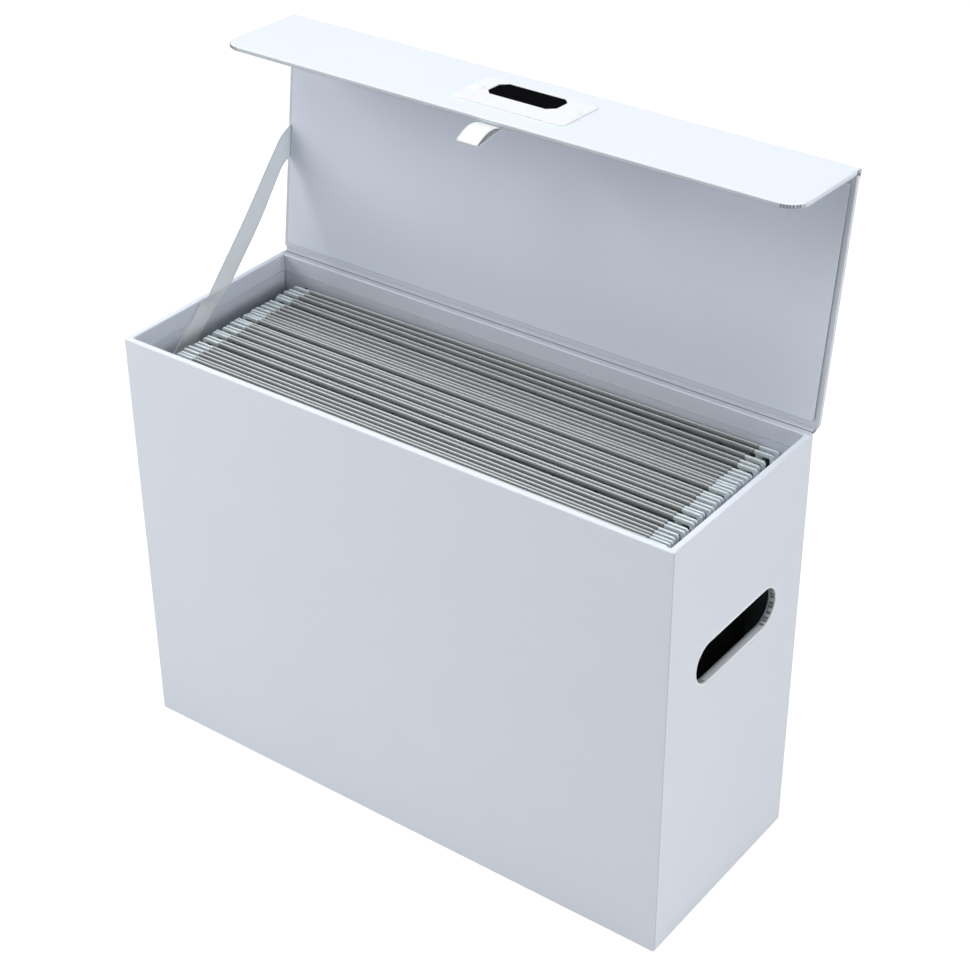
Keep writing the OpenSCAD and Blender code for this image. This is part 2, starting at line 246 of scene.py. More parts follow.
def strip(name, path, thickness, half, material, turn=upright, steps=24):
    # a sheet that follows a path in Y and Z, drawn out along X
    normals = []
    for i in range(len(path)):
        a = Vector(path[max(i - 1, 0)])
        b = Vector(path[min(i + 1, len(path) - 1)])
        d = (b - a).normalized()
        normals.append(Vector((-d.y, d.x)))
    loop = [Vector(p) + n * thickness / 2 for p, n in zip(path, normals)]
    loop += [Vector(p) - n * thickness / 2 for p, n in reversed(list(zip(path, normals)))]
    xs = [-half + 2 * half * i / steps for i in range(steps + 1)]
    points = [(x, q.x, q.y) for x in xs for q in loop]
    mesh = meshFrom(name, points, slabFaces(steps + 1, len(loop)), 1e-8)
    smoothShade(mesh, 50)
    return turned(makeObject(name, mesh, material), turn)


# shader node groups that several finishes share
def newGroup(name, inputs, outputs):
    group = bpy.data.node_groups.new(name, "ShaderNodeTree")
    for label, kind, value in inputs:
        socket = group.interface.new_socket(label, in_out="INPUT", socket_type=kind)
        socket.default_value = value
    for label, kind in outputs:
        group.interface.new_socket(label, in_out="OUTPUT", socket_type=kind)
    entry = group.nodes.new("NodeGroupInput")
    leave = group.nodes.new("NodeGroupOutput")
    return group, entry, leave


def addNode(tree, kind, **values):
    node = tree.nodes.new(kind)
    for key, value in values.items():
        if key in node.inputs:
            node.inputs[key].default_value = value
        else:
            setattr(node, key, value)
    return node


def wire(tree, *links):
    for a, output, b, entry in links:
        tree.links.new(a.outputs[output], b.inputs[entry])


def feed(tree, value, socket):
    if isinstance(value, bpy.types.NodeSocket):
        tree.links.new(value, socket)
    elif value is not None:
        socket.default_value = value


def mathNode(tree, operation, a, b=None):
    node = addNode(tree, "ShaderNodeMath", operation=operation)
    feed(tree, a, node.inputs[0])
    feed(tree, b, node.inputs[1])
    return node.outputs[0]


def mixNode(tree, factor, a, b):
    node = addNode(tree, "ShaderNodeMix", data_type="RGBA")
    feed(tree, factor, node.inputs["Factor"])
    feed(tree, a, node.inputs[6])
    feed(tree, b, node.inputs[7])
    return node.outputs[2]


def buildPaperGroup():
    # fine fibres and a slow unevenness, for every sheet of paper and wrapped board
    look = {"grainScale": 900.0, "grainTone": 0.12, "grainHeight": 1.5}
    group, entry, leave = newGroup("paperFibre", [
        ("Vector", "NodeSocketVector", (0, 0, 0)),
        ("Fibre Size", "NodeSocketFloat", 2600.0),
        ("Mottle Size", "NodeSocketFloat", 26.0),
        ("Tone", "NodeSocketColor", (0.8, 0.8, 0.8, 1)),
        ("Shade", "NodeSocketColor", (0.7, 0.7, 0.7, 1)),
        ("Mottle", "NodeSocketFloat", 0.35)],
        [("Color", "NodeSocketColor"), ("Height", "NodeSocketFloat"), ("Wear", "NodeSocketFloat")])
    link = group.links.new
    fibre = addNode(group, "ShaderNodeTexNoise", Detail=3.0, Roughness=0.6)
    mottle = addNode(group, "ShaderNodeTexNoise", Detail=4.0, Roughness=0.5)
    grain = addNode(group, "ShaderNodeTexNoise", Detail=2.0, Scale=look["grainScale"])
    for texture in (fibre, mottle, grain):
        link(entry.outputs["Vector"], texture.inputs["Vector"])
    link(entry.outputs["Fibre Size"], fibre.inputs["Scale"])
    link(entry.outputs["Mottle Size"], mottle.inputs["Scale"])
    amount = mathNode(group, "MULTIPLY", mottle.outputs["Fac"], entry.outputs["Mottle"])
    fine = mathNode(group, "MULTIPLY", grain.outputs["Fac"], look["grainTone"])
    share = mathNode(group, "ADD", amount, fine)
    link(mixNode(group, share, entry.outputs["Tone"], entry.outputs["Shade"]), leave.inputs["Color"])
    soft = mathNode(group, "MULTIPLY", grain.outputs["Fac"], look["grainHeight"])
    link(mathNode(group, "ADD", fibre.outputs["Fac"], soft), leave.inputs["Height"])
    link(mottle.outputs["Fac"], leave.inputs["Wear"])
    return group


def buildWeaveGroup():
    # fine ribs across a satin ribbon and a thicker thread along each edge, on the ribbon's own map
    look = {"threads": 260.0, "ribHeight": 0.7, "threadHeight": 0.4, "edgeHeight": 3.0}
    group, entry, leave = newGroup("satinWeave", [
        ("Map", "NodeSocketVector", (0, 0, 0)),
        ("Ribs", "NodeSocketFloat", 220.0),
        ("Edge Width", "NodeSocketFloat", 0.06),
        ("Tone", "NodeSocketColor", (0.6, 0.6, 0.6, 1)),
        ("Edge Tone", "NodeSocketColor", (0.4, 0.4, 0.4, 1))],
        [("Color", "NodeSocketColor"), ("Height", "NodeSocketFloat")])
    link = group.links.new
    split = addNode(group, "ShaderNodeSeparateXYZ")
    link(entry.outputs["Map"], split.inputs[0])
    along = mathNode(group, "SINE", mathNode(group, "MULTIPLY", split.outputs["Y"], entry.outputs["Ribs"]))
    across = mathNode(group, "SINE", mathNode(group, "MULTIPLY", split.outputs["X"], look["threads"]))
    weave = mathNode(group, "ADD", mathNode(group, "MULTIPLY", along, look["ribHeight"]),
                     mathNode(group, "MULTIPLY", across, look["threadHeight"]))
    middle = mathNode(group, "ABSOLUTE", mathNode(group, "SUBTRACT", split.outputs["X"], 0.5))
    edge = mathNode(group, "GREATER_THAN", mathNode(group, "ADD", middle, entry.outputs["Edge Width"]), 0.5)
    link(mixNode(group, edge, entry.outputs["Tone"], entry.outputs["Edge Tone"]), leave.inputs["Color"])
    thick = mathNode(group, "MULTIPLY", edge, look["edgeHeight"])
    link(mathNode(group, "ADD", weave, thick), leave.inputs["Height"])
    return group


paperFibre = buildPaperGroup()
satinWeave = buildWeaveGroup()


def newMaterial(name):
    material = bpy.data.materials.new(name)
    material.use_nodes = True
    tree = material.node_tree
    return material, tree, tree.nodes["Principled BSDF"]


def groupNode(tree, group, **values):
    node = tree.nodes.new("ShaderNodeGroup")
    node.node_tree = group
    for key, value in values.items():
        node.inputs[key.replace("_", " ")].default_value = value
    return node


def bumpInto(tree, height, shader, strength, distance):
    bump = addNode(tree, "ShaderNodeBump", Strength=strength, Distance=distance)
    tree.links.new(height, bump.inputs["Height"])
    tree.links.new(bump.outputs["Normal"], shader.inputs["Normal"])


def roughnessFrom(tree, mask, shader, middle, spread):
    # a little shinier and duller from place to place
    rough = addNode(tree, "ShaderNodeMapRange")
    rough.inputs["To Min"].default_value = middle - spread
    rough.inputs["To Max"].default_value = middle + spread
    tree.links.new(mask, rough.inputs["Value"])
    tree.links.new(rough.outputs["Result"], shader.inputs["Roughness"])


def paperFinish(name, tone, shade, roughness, bump=0.25, fibre=2600.0, mottle=0.35, specular=0.4,
                stretch=(1, 1, 1), paintedUpwardShading=None):
    look = {"upward": 0.8, "wear": 0.06, "depth": 0.06 * mm}
    material, tree, shader = newMaterial(name)
    place = tree.nodes.new("ShaderNodeTexCoord")
    spread = addNode(tree, "ShaderNodeMapping", Scale=stretch)
    paper = groupNode(tree, paperFibre, Tone=(*tone, 1), Shade=(*shade, 1), Fibre_Size=fibre, Mottle=mottle)
    tree.links.new(place.outputs["Object"], spread.inputs["Vector"])
    tree.links.new(spread.outputs["Vector"], paper.inputs["Vector"])
    color = paper.outputs["Color"]
    if paintedUpwardShading:
        # faces that look upward get a painted tone: painted shade on the wall linings' top edges, a painted
        # highlight on the folders' fold tops
        facing = addNode(tree, "ShaderNodeSeparateXYZ")
        tree.links.new(place.outputs["Normal"], facing.inputs[0])
        upward = mathNode(tree, "GREATER_THAN", facing.outputs["Z"], look["upward"])
        color = mixNode(tree, upward, color, (*paintedUpwardShading, 1))
    tree.links.new(color, shader.inputs["Base Color"])
    roughnessFrom(tree, paper.outputs["Wear"], shader, roughness, look["wear"])
    shader.inputs["Specular IOR Level"].default_value = specular
    bumpInto(tree, paper.outputs["Height"], shader, bump, look["depth"])
    return material


def ribbonFinish(name, tone, edgeTone, ribs):
    look = {"Roughness": 0.38, "Sheen Weight": 0.25, "Sheen Roughness": 0.4, "Anisotropic": 0.5}
    bump, depth = 0.3, 0.05 * mm
    material, tree, shader = newMaterial(name)
    place = tree.nodes.new("ShaderNodeTexCoord")
    weave = groupNode(tree, satinWeave, Tone=(*tone, 1), Edge_Tone=(*edgeTone, 1), Ribs=ribs)
    tree.links.new(place.outputs["UV"], weave.inputs["Map"])
    tree.links.new(weave.outputs["Color"], shader.inputs["Base Color"])
    for label, value in look.items():
        shader.inputs[label].default_value = value
    bumpInto(tree, weave.outputs["Height"], shader, bump, depth)
    return material


def coatedFinish(name, tone, shade, roughness, metallic, grain, bump):
    # painted or moulded surfaces: a fine orange peel and a little colour drift
    look = {"driftScale": 60.0, "wear": 0.08, "depth": 0.04 * mm}
    material, tree, shader = newMaterial(name)
    place = tree.nodes.new("ShaderNodeTexCoord")
    peel = addNode(tree, "ShaderNodeTexNoise", Scale=grain, Detail=2.0)
    drift = addNode(tree, "ShaderNodeTexNoise", Scale=look["driftScale"], Detail=3.0)
    for texture in (peel, drift):
        tree.links.new(place.outputs["Object"], texture.inputs["Vector"])
    color = mixNode(tree, drift.outputs["Fac"], (*tone, 1), (*shade, 1))
    tree.links.new(color, shader.inputs["Base Color"])
    roughnessFrom(tree, drift.outputs["Fac"], shader, roughness, look["wear"])
    shader.inputs["Metallic"].default_value = metallic
    bumpInto(tree, peel.outputs["Fac"], shader, bump, look["depth"])
    return material


coverPaper = paperFinish("coverPaper", (0.785, 0.83, 0.91), (0.735, 0.78, 0.86), 0.5, 0.18)
# a darker copy of the cover paper: painted shade where the cover is turned in or overlaps
turnInPaintedShade = paperFinish("turnInPaintedShade", (0.61, 0.645, 0.71), (0.55, 0.585, 0.645), 0.55, 0.2)
insidePaper = paperFinish("insidePaper", (0.66, 0.70, 0.775), (0.60, 0.64, 0.71), 0.5, 0.18)
edgePaper = paperFinish("edgePaper", (0.61, 0.645, 0.70), (0.49, 0.52, 0.57), 0.55, 0.3, mottle=0.9,
                        stretch=(1.0, 30.0, 30.0))
# dark paper as painted shade: the shadow in each pleat's fold
pleatPaintedShade = paperFinish("pleatPaintedShade", (0.26, 0.265, 0.28), (0.17, 0.175, 0.19), 0.6, 0.3)
# near-black paper as painted shade: the hinge crease line and the lid liner's side edges
creasePaintedShade = paperFinish("creasePaintedShade", (0.24, 0.255, 0.29), (0.16, 0.17, 0.20), 0.6, 0.2)
# near-white paper as a painted highlight on the slot rims
rimPaintedHighlight = paperFinish("rimPaintedHighlight", (0.93, 0.94, 0.95), (0.89, 0.90, 0.92), 0.5, 0.1)
liningPaper = paperFinish("liningPaper", (0.70, 0.75, 0.84), (0.65, 0.70, 0.785), 0.55, 0.15)
# the linings' upward-facing top edges are painted dark: painted shade
wallLining = paperFinish("wallLining", (0.60, 0.64, 0.71), (0.54, 0.58, 0.645), 0.55, 0.15,
                         paintedUpwardShading=(0.36, 0.38, 0.42))
# folder paper darkened as painted shade for the gaps between folders, with a painted highlight on the
# upward-facing fold tops
folderPaintedShading = paperFinish("folderPaintedShading", (0.31, 0.325, 0.33), (0.22, 0.23, 0.235), 0.7, 0.5, 1800.0, 0.6,
                          paintedUpwardShading=(0.62, 0.645, 0.65))
cardPaper = paperFinish("cardPaper", (0.004, 0.004, 0.005), (0.007, 0.007, 0.008), 0.7, 0.1, specular=0.0)
stayRibbon = ribbonFinish("stayRibbon", (0.80, 0.84, 0.87), (0.66, 0.70, 0.73), 900.0)
tabRibbon = ribbonFinish("tabRibbon", (0.84, 0.85, 0.87), (0.72, 0.735, 0.76), 300.0)
railPlastic = coatedFinish("railPlastic", (0.012, 0.012, 0.013), (0.02, 0.02, 0.021), 0.42, 0.0, 900.0, 0.2)
hangerCoat = coatedFinish("hangerCoat", (0.80, 0.87, 0.90), (0.70, 0.78, 0.82), 0.35, 0.1, 700.0, 0.2)
platePaint = coatedFinish("platePaint", (0.84, 0.855, 0.885), (0.81, 0.825, 0.86), 0.32, 0.0, 1200.0, 0.15)
print("finishes built")


# camera, set by the photograph's view of the box
def buildCamera():
    view = {
        "eye": (0.60129, -0.78279, 0.82248),
        "right": (0.80501, 0.59324, -0.00465),
        "down": (0.31955, -0.44018, -0.83912),
        "forward": (-0.49985, 0.67402, -0.54392),
        "focalPixels": 2156.33,
        "centrePixels": (487.80, 500.42),
        "framePixels": (970, 971)}
    cam = bpy.data.cameras.new("camera")
    obj = bpy.data.objects.new("camera", cam)
    bpy.context.scene.collection.objects.link(obj)
    columns = [Vector(view["right"]), -Vector(view["down"]), -Vector(view["forward"])]
    turn = Matrix.Identity(3)
    for i, column in enumerate(columns):
        turn.col[i] = column.normalized()
    obj.matrix_world = Matrix.Translation(view["eye"]) @ turn.to_4x4()
    width, height = view["framePixels"]
    longSide = max(width, height)
    cam.sensor_fit = "AUTO"
    cam.sensor_width = 36
    cam.lens = view["focalPixels"] * cam.sensor_width / longSide
    cam.shift_x = (width / 2 - view["centrePixels"][0]) / longSide
    cam.shift_y = (view["centrePixels"][1] - height / 2) / longSide
    cam.clip_start = 0.05
    cam.clip_end = 50
    cam.dof.use_dof = False
    bpy.context.scene.camera = obj


buildCamera()


# box shell, wrapped in cover paper
def buildShell():
    size = {"cornerRadius": 1.2 * mm, "edgeRadius": 0.8 * mm, "slotLength": 78 * mm, "slotHeight": 24 * mm,
            "slotDrop": 75 * mm, "over": 50 * mm, "skin": 0.2 * mm}
    outer = roundRect(-boxW / 2, -boxD / 2, boxW / 2, boxD / 2, [size["cornerRadius"]] * 4, 8)
    shell = makeObject("boxShell", prism(outer, lying, 0, boxH), coverPaper)
    inner = roundRect(-innerW / 2, -innerD / 2, innerW / 2, innerD / 2, [0] * 4)
    hollow = makeObject("hollow", prism(inner, lying, floorT, boxH + size["over"]))
    slotZ = boxH - size["slotDrop"] - size["slotHeight"] / 2
    outline = stadium(0, slotZ, size["slotLength"], size["slotHeight"], 24)
    slots = makeObject("slots", prism(outline, sideways, -boxW, boxW))
    roundEdges(shell, size["edgeRadius"], 4, 35, [hollow, slots])
    insideX, insideY = innerW / 2 + size["skin"], innerD / 2 + size["skin"]
    paintFaces(shell, insidePaper, lambda normal, centre: abs(normal.z) < 0.5 and abs(centre.x) < insideX
               and abs(centre.y) < insideY)
    settle(shell, "box", "cover", "front_wall", "back_wall", "left_end_wall", "right_end_wall", "floor_board")
    return slotZ, size["slotLength"], size["slotHeight"]


slotZ, slotLength, slotHeight = buildShell()


def tube(name, ring, radius, material, around=8):
    # a thin rolled edge along a closed ring of points, each with its outward direction
    points = []
    for p, a, b in ring:
        for k in range(around):
            t = 2 * math.pi * k / around
            points.append(p + a * radius * math.cos(t) + b * radius * math.sin(t))
    mesh = meshFrom(name, points, wallFaces(len(ring), around, closed=True))
    mesh.shade_smooth()
    return makeObject(name, mesh, material)


def buildShellTrim():
    size = {"rimRadius": 0.55 * mm, "rimOut": 1.1 * mm, "rimSunk": 0.1 * mm, "seamWidth": 0.6 * mm,
            "seamThickness": 0.1 * mm, "seamFrom": 0.7 * mm, "seamSunk": 0.1 * mm, "seamLow": 1.2 * mm,
            "seamTop": 1.0 * mm, "overlapWidth": 2.6 * mm, "overlapThickness": 0.35 * mm,
            "overlapSunk": 0.2 * mm, "overlapLow": 0.05 * mm, "overlapTop": 0.9 * mm}
    # rolled paper round each hand slot, in a lighter paper that paints a highlight along the rim
    straight = (slotLength - slotHeight) / 2
    outline = stadium(0, slotZ, slotLength + size["rimOut"], slotHeight + size["rimOut"], 32)
    for name, side in (("slotRimRight", 1), ("slotRimLeft", -1)):
        x = side * (boxW / 2 - size["rimSunk"])
        ring = []
        for u, v in outline:
            core = max(-straight, min(straight, u))
            out = Vector((0, u - core, v - slotZ)).normalized()
            ring.append((Vector((x, u, v)), out, Vector((side, 0, 0))))
        settle(tube(name, ring, size["rimRadius"], rimPaintedHighlight), "box", "cover")
    # the cover's overlap along the two front corners; its darker tone is a painted shadow line along the
    # overlap's edge
    y0 = -boxD / 2 + size["seamFrom"]
    y1 = y0 + size["seamWidth"]
    for name, side in (("seamRight", 1), ("seamLeft", -1)):
        x0 = side * (boxW / 2 - size["seamSunk"])
        x1 = side * (boxW / 2 + size["seamThickness"])
        outline = [(x0, y0), (x1, y0), (x1, y1), (x0, y1)]
        seam = prism(outline, lying, size["seamLow"], boxH - size["seamTop"])
        settle(makeObject(name, seam, turnInPaintedShade), "box", "cover")
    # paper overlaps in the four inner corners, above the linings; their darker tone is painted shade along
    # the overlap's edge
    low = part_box("back_lining")[1].z + size["overlapLow"]
    a, w, t = size["overlapSunk"], -size["overlapWidth"], -size["overlapThickness"]
    angle = [(a, a), (w, a), (w, t), (t, t), (t, w), (a, w)]
    for name, sx, sy in (("overlapBackLeft", -1, 1), ("overlapBackRight", 1, 1), ("overlapFrontLeft", -1, -1),
                         ("overlapFrontRight", 1, -1)):
        outline = [(sx * (innerW / 2 + u), sy * (innerD / 2 + v)) for u, v in angle]
        overlap = prism(outline, lying, low, boxH - size["overlapTop"])
        settle(makeObject(name, overlap, turnInPaintedShade), "box", "cover")


buildShellTrim()
print("box shell built")

# linings and rails keep their own solids
for name in ("front_lining", "back_lining", "left_lining", "right_lining", "floor_lining"):
    finishNode(name, wallLining)
for name in ("left_rail", "right_rail"):
    finishNode(name, railPlastic)


# lid board with its cover, and the raised liner
def buildLid():
    size = {"edgeRadius": 0.9 * mm, "cornerRadius": 3 * mm, "linerEdge": 0.35 * mm, "linerCorner": 2.5 * mm,
            "linerSunk": 0.2 * mm}
    low, high = shutBox("lid_board", lidTurn)
    r = size["cornerRadius"]
    outline = roundRect(low.x, low.y, high.x, high.y, [0, 0, r, r])
    lid = makeObject("lidCover", prism(outline, lying, low.z, high.z), coverPaper)
    roundEdges(lid, size["edgeRadius"])
    # the lid's inner face is painted in the darker cover tone: painted shade from the flap above it
    paintFaces(lid, turnInPaintedShade, lambda normal, centre: normal.z < -0.6)
    settle(turned(lid, lidTurn), "lid", "cover", "lid_board")
    low, high = shutBox("lid_liner", lidTurn)
    outline = roundRect(low.x, low.y, high.x, high.y, [size["linerCorner"]] * 4)
    liner = makeObject("lidLiner", prism(outline, lying, low.z, high.z + size["linerSunk"]), liningPaper)
    roundEdges(liner, size["linerEdge"], 3)
    # the liner's side faces are painted near-black: a painted shadow line along its edges
    paintFaces(liner, creasePaintedShade, lambda normal, centre: abs(normal.x) > 0.9)
    settle(turned(liner, lidTurn), "lid", "lining_paper", "lid_liner")


buildLid()
print("lid built")


# cover carried over the hinge, outside and inside
def buildHinge():
    size = {"thickness": 0.4 * mm, "leaf": 22 * mm, "lidLeaf": 16 * mm, "inset": 1.2 * mm, "sag": 0.9 * mm,
            "gapLow": 0.7 * mm, "gapHigh": 0.2 * mm, "insideThickness": 0.3 * mm, "darkFrom": -0.2 * mm,
            "darkTo": 0.85 * mm, "bendFrom": 0.1 * mm, "bendTo": 1.9 * mm}
    lidLow, lidHigh = shutBox("lid_board", lidTurn)
    wallY = boxD / 2
    half = boxW / 2 - size["inset"]

    def onLid(up, z):
        return tuple((lidTurn @ Vector((0, hingeAt.y - up, z))).yz)

    # outside: up the back, sagging across the gap, and on up the lid
    outY = wallY + size["thickness"] / 2
    outFace = lidHigh.z + size["thickness"] / 2
    path = [(outY, boxH - down) for down in (size["leaf"], 3 * mm, 1.2 * mm)]
    start = Vector((outY, boxH - size["gapLow"]))
    end = Vector(onLid(size["gapHigh"], outFace))
    for i in range(7):
        share = i / 6
        point = start + (end - start) * share
        path.append((point.x, point.y - size["sag"] * math.sin(math.pi * share)))
    path += [onLid(up, outFace) for up in (1 * mm, 2 * mm, 4 * mm, 8 * mm, size["lidLeaf"])]
    outside = strip("hingeCover", path, size["thickness"], half, coverPaper)
    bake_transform(outside)
    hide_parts("lid_crease")
    # inside: over the rim, down into a narrow crease, and up the lid's border under the liner; the strip's
    # darker tone is painted shade from the open lid on the rim band and border
    inFace = lidLow.z - size["insideThickness"] / 2
    rimTop = boxH + size["insideThickness"] / 2
    near = wallY - wallT
    rim = [(near + y * mm, z) for y, z in ((0.45, -0.35), (0.5, -0.12), (0.65, -0.02), (0.8, 0))]
    rim += [(wallY + y * mm, z) for y, z in (
        (-0.5, 0), (-0.35, -0.02), (-0.22, -0.1), (-0.12, -0.3), (0.1, -0.45), (0.45, -0.47), (0.75, -0.3),
        (0.9, -0.1), (1.3, 0.1))]
    border = [(0.65, 0.1), (1.0, 0.02), (1.3, 0), (1.5, 0), (1.58, 0.1), (1.66, 0.3), (1.82, 0.3), (1.9, 0.1),
              (2.0, 0), (3.2, 0), (4.2, 0), (5.2, 0), (6.5, 0)]
    path = [(y, rimTop + z * mm) for y, z in rim]
    path += [onLid(up * mm, inFace + deep * mm) for up, deep in border]
    inside = strip("hingeLining", path, size["insideThickness"], half, turnInPaintedShade)
    # the crease's faces are painted near-black: a painted shadow line in the groove
    darkFrom, darkTo = wallY + size["darkFrom"], wallY + size["darkTo"]
    paintFaces(inside, creasePaintedShade, lambda normal, centre: darkFrom < centre.y < darkTo)
    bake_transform(inside)


buildHinge()
print("hinge built")


# cover carried over the flap's fold, outside and inside
def buildFold():
    size = {"thickness": 0.4 * mm, "tuck": 10, "over": 2, "endOver": 0.05 * mm, "coreGap": 0.05 * mm,
            "coreInset": 0.1 * mm, "coreTurn": 345, "tongueInset": 0.9 * mm, "liningThickness": 0.3 * mm,
            "liningReach": 6 * mm, "liningFrom": 3 * mm, "liningInset": 6 * mm, "cornerIn": 1.2 * mm,
            "cornerDown": 0.9 * mm, "bendFrom": (2.6 * mm, 0), "bendTo": (1.2 * mm, -2 * mm)}
    t = size["thickness"]
    lidLow, lidHigh = shutBox("lid_board", lidTurn)
    flapLow, flapHigh = shutBox("flap_board", flapTurn)
    radius = lidHigh.z - foldShut.z
    half = (lidHigh.x - lidLow.x) / 2 + size["endOver"]
    foldIn = turnAbout(foldShut, flapIn)
    # in the shut lid's frame the arc starts on top of the lid and ends on the flap's face
    end = 180 + math.degrees(flapIn) + size["over"]
    path = arc(foldShut.y, foldShut.z, radius - t / 2, 90 - size["tuck"], end, 18)
    cover = strip("foldCover", path, t, half, coverPaper, lidTurn)
    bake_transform(cover)
    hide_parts("flap_crease")
    # the rolled core inside the fold, seen at its two ends, in the darker tone as painted shade at the fold's
    # ends
    section = arc(foldShut.y, foldShut.z, radius - t - size["coreGap"], 0, size["coreTurn"], 23)
    coreHalf = half - size["coreInset"]
    roll = makeObject("foldCore", prism(section, sideways, -coreHalf, coreHalf), turnInPaintedShade)
    smoothShade(roll.data)
    settle(turned(roll, lidTurn), "fold", "cover")
    # tongues of cover from each board to the fold
    y, z = lidLow.y + size["tongueInset"], lidHigh.z - t / 2
    settle(strip("lidFoldCover", [(y, z), (foldShut.y, z)], t, half, coverPaper, lidTurn), "lid", "cover")
    y, z = flapLow.y + t / 2, flapHigh.z - size["tongueInset"]
    settle(strip("flapFoldCover", [(y, foldShut.z), (y, z)], t, half, coverPaper, flapTurn), "flap", "cover")

    def onFlap(y, z):
        return tuple((foldIn @ Vector((0, y, z))).yz)

    # lining paper glued into the inner corner
    t = size["liningThickness"]
    reach = size["liningReach"]
    path = [(foldShut.y + d, lidLow.z - t / 2) for d in (reach, 0.7 * reach, size["liningFrom"])]
    path.append((foldShut.y + radius + size["cornerIn"], lidLow.z - t))
    path.append(onFlap(flapHigh.y + t, lidLow.z - size["cornerDown"]))
    path += [onFlap(flapHigh.y + t / 2, foldShut.z - d) for d in (size["liningFrom"], 0.7 * reach, reach)]
    lining = strip("foldLining", path, t, half - size["liningInset"], coverPaper, lidTurn)
    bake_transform(lining)


buildFold()


# flap board with rounded free corners, and its lining
def buildFlap():
    size = {"edgeRadius": 0.9 * mm, "cornerRadius": 11 * mm, "bandFrom": -0.6 * mm}
    low, high = shutBox("flap_board", flapTurn)
    r = size["cornerRadius"]
    outline = roundRect(low.x, low.z, high.x, high.z, [r, r, 0, 0], 16)
    flap = makeObject("flapCover", prism(outline, standing, low.y, high.y), coverPaper)
    roundEdges(flap, size["edgeRadius"])
    bandY = (low.y + high.y) / 2 + size["bandFrom"]
    paintFaces(flap, edgePaper, lambda normal, centre: normal.z < -0.25 and centre.y > bandY)
    settle(turned(flap, flapTurn), "flap", "cover", "flap_board")
    finishNode("flap_lining", liningPaper)


buildFlap()
print("fold and flap built")


# each tree takes geometry and named values, and ends by making its instances real in one material
def newTree(name, inputs):
    tree = bpy.data.node_groups.new(name, "GeometryNodeTree")
    for label, kind in (("Geometry", "Geometry"), *inputs):
        tree.interface.new_socket(label, in_out="INPUT", socket_type="NodeSocket" + kind)
    tree.interface.new_socket("Geometry", in_out="OUTPUT", socket_type="NodeSocketGeometry")
    return tree, addNode(tree, "NodeGroupInput"), addNode(tree, "NodeGroupOutput")


def endTree(tree, last, output, entry, leave):
    real = addNode(tree, "GeometryNodeRealizeInstances")
    paint = addNode(tree, "GeometryNodeSetMaterial")
    wire(tree, (last, output, real, "Geometry"), (real, "Geometry", paint, "Geometry"),
         (entry, "Material", paint, "Material"), (paint, "Geometry", leave, "Geometry"))
    return tree


# repeats along a path: pleats and rivets share one tree
def buildAlongTree():
    tree, entry, leave = newTree("alongPath", [
        ("Piece", "Object"), ("Material", "Material"), ("Count", "Int"), ("Side", "Vector"),
        ("Least Size", "Float"), ("Shift", "Float"), ("Seed", "Int")])
    curve = addNode(tree, "GeometryNodeMeshToCurve")
    resample = addNode(tree, "GeometryNodeResampleCurve")
    tangent = addNode(tree, "GeometryNodeInputTangent")
    outward = addNode(tree, "ShaderNodeVectorMath", operation="CROSS_PRODUCT")
    faceOut = addNode(tree, "FunctionNodeAlignRotationToVector", axis="Z")
    faceAlong = addNode(tree, "FunctionNodeAlignRotationToVector", axis="X", pivot_axis="Z")
    piece = addNode(tree, "GeometryNodeObjectInfo", transform_space="ORIGINAL")
    place = addNode(tree, "GeometryNodeInstanceOnPoints")
    amount = addNode(tree, "FunctionNodeRandomValue", data_type="FLOAT")
    slide = addNode(tree, "FunctionNodeRandomValue", data_type="FLOAT")
    push = addNode(tree, "ShaderNodeVectorMath", operation="SCALE")
    move = addNode(tree, "GeometryNodeSetPosition")
    size = addNode(tree, "ShaderNodeCombineXYZ", X=1, Y=1)
    # a random node's numbered inputs 2 and 3 are its least and greatest value
    amount.inputs[3].default_value = 1
    feed(tree, mathNode(tree, "MULTIPLY", entry.outputs["Shift"], -1), slide.inputs[2])
    wire(tree, (entry, "Geometry", curve, "Mesh"), (curve, "Curve", resample, "Curve"),
         (entry, "Count", resample, "Count"), (tangent, "Tangent", outward, 0), (entry, "Side", outward, 1),
         (outward, 0, faceOut, "Vector"), (faceOut, "Rotation", faceAlong, "Rotation"),
         (entry, "Side", faceAlong, "Vector"), (entry, "Piece", piece, "Object"),
         (entry, "Least Size", amount, 2), (entry, "Seed", amount, "Seed"), (entry, "Shift", slide, 3),
         (entry, "Seed", slide, "Seed"), (tangent, "Tangent", push, 0), (slide, 1, push, "Scale"),
         (resample, "Curve", move, "Geometry"), (push, 0, move, "Offset"),
         (move, "Geometry", place, "Points"), (piece, "Geometry", place, "Instance"),
         (faceAlong, "Rotation", place, "Rotation"), (amount, 1, size, "Z"), (size, 0, place, "Scale"))
    return endTree(tree, place, "Instances", entry, leave)


alongPath = buildAlongTree()


def setInputs(modifier, values):
    for item in modifier.node_group.interface.items_tree:
        if item.item_type == "SOCKET" and item.in_out == "INPUT" and item.name in values:
            modifier[item.identifier] = values[item.name]


def repeatAlong(name, paths, piece, material, count, side, leastSize=1.0, shift=0.0, seed=1):
    points, edges = [], []
    for path in paths:
        base = len(points)
        points += [tuple(p) for p in path]
        edges += [(base + i, base + i + 1) for i in range(len(path) - 1)]
    mesh = bpy.data.meshes.new(name)
    mesh.from_pydata(points, edges, [])
    obj = makeObject(name, mesh)
    modifier = obj.modifiers.new("along", "NODES")
    modifier.node_group = alongPath
    setInputs(modifier, {"Piece": piece, "Material": material, "Count": count, "Side": side,
                         "Least Size": leastSize, "Shift": shift, "Seed": seed})
    applyModifiers(obj)
    bpy.data.objects.remove(piece)
    smoothShade(obj.data, 50)
    return obj


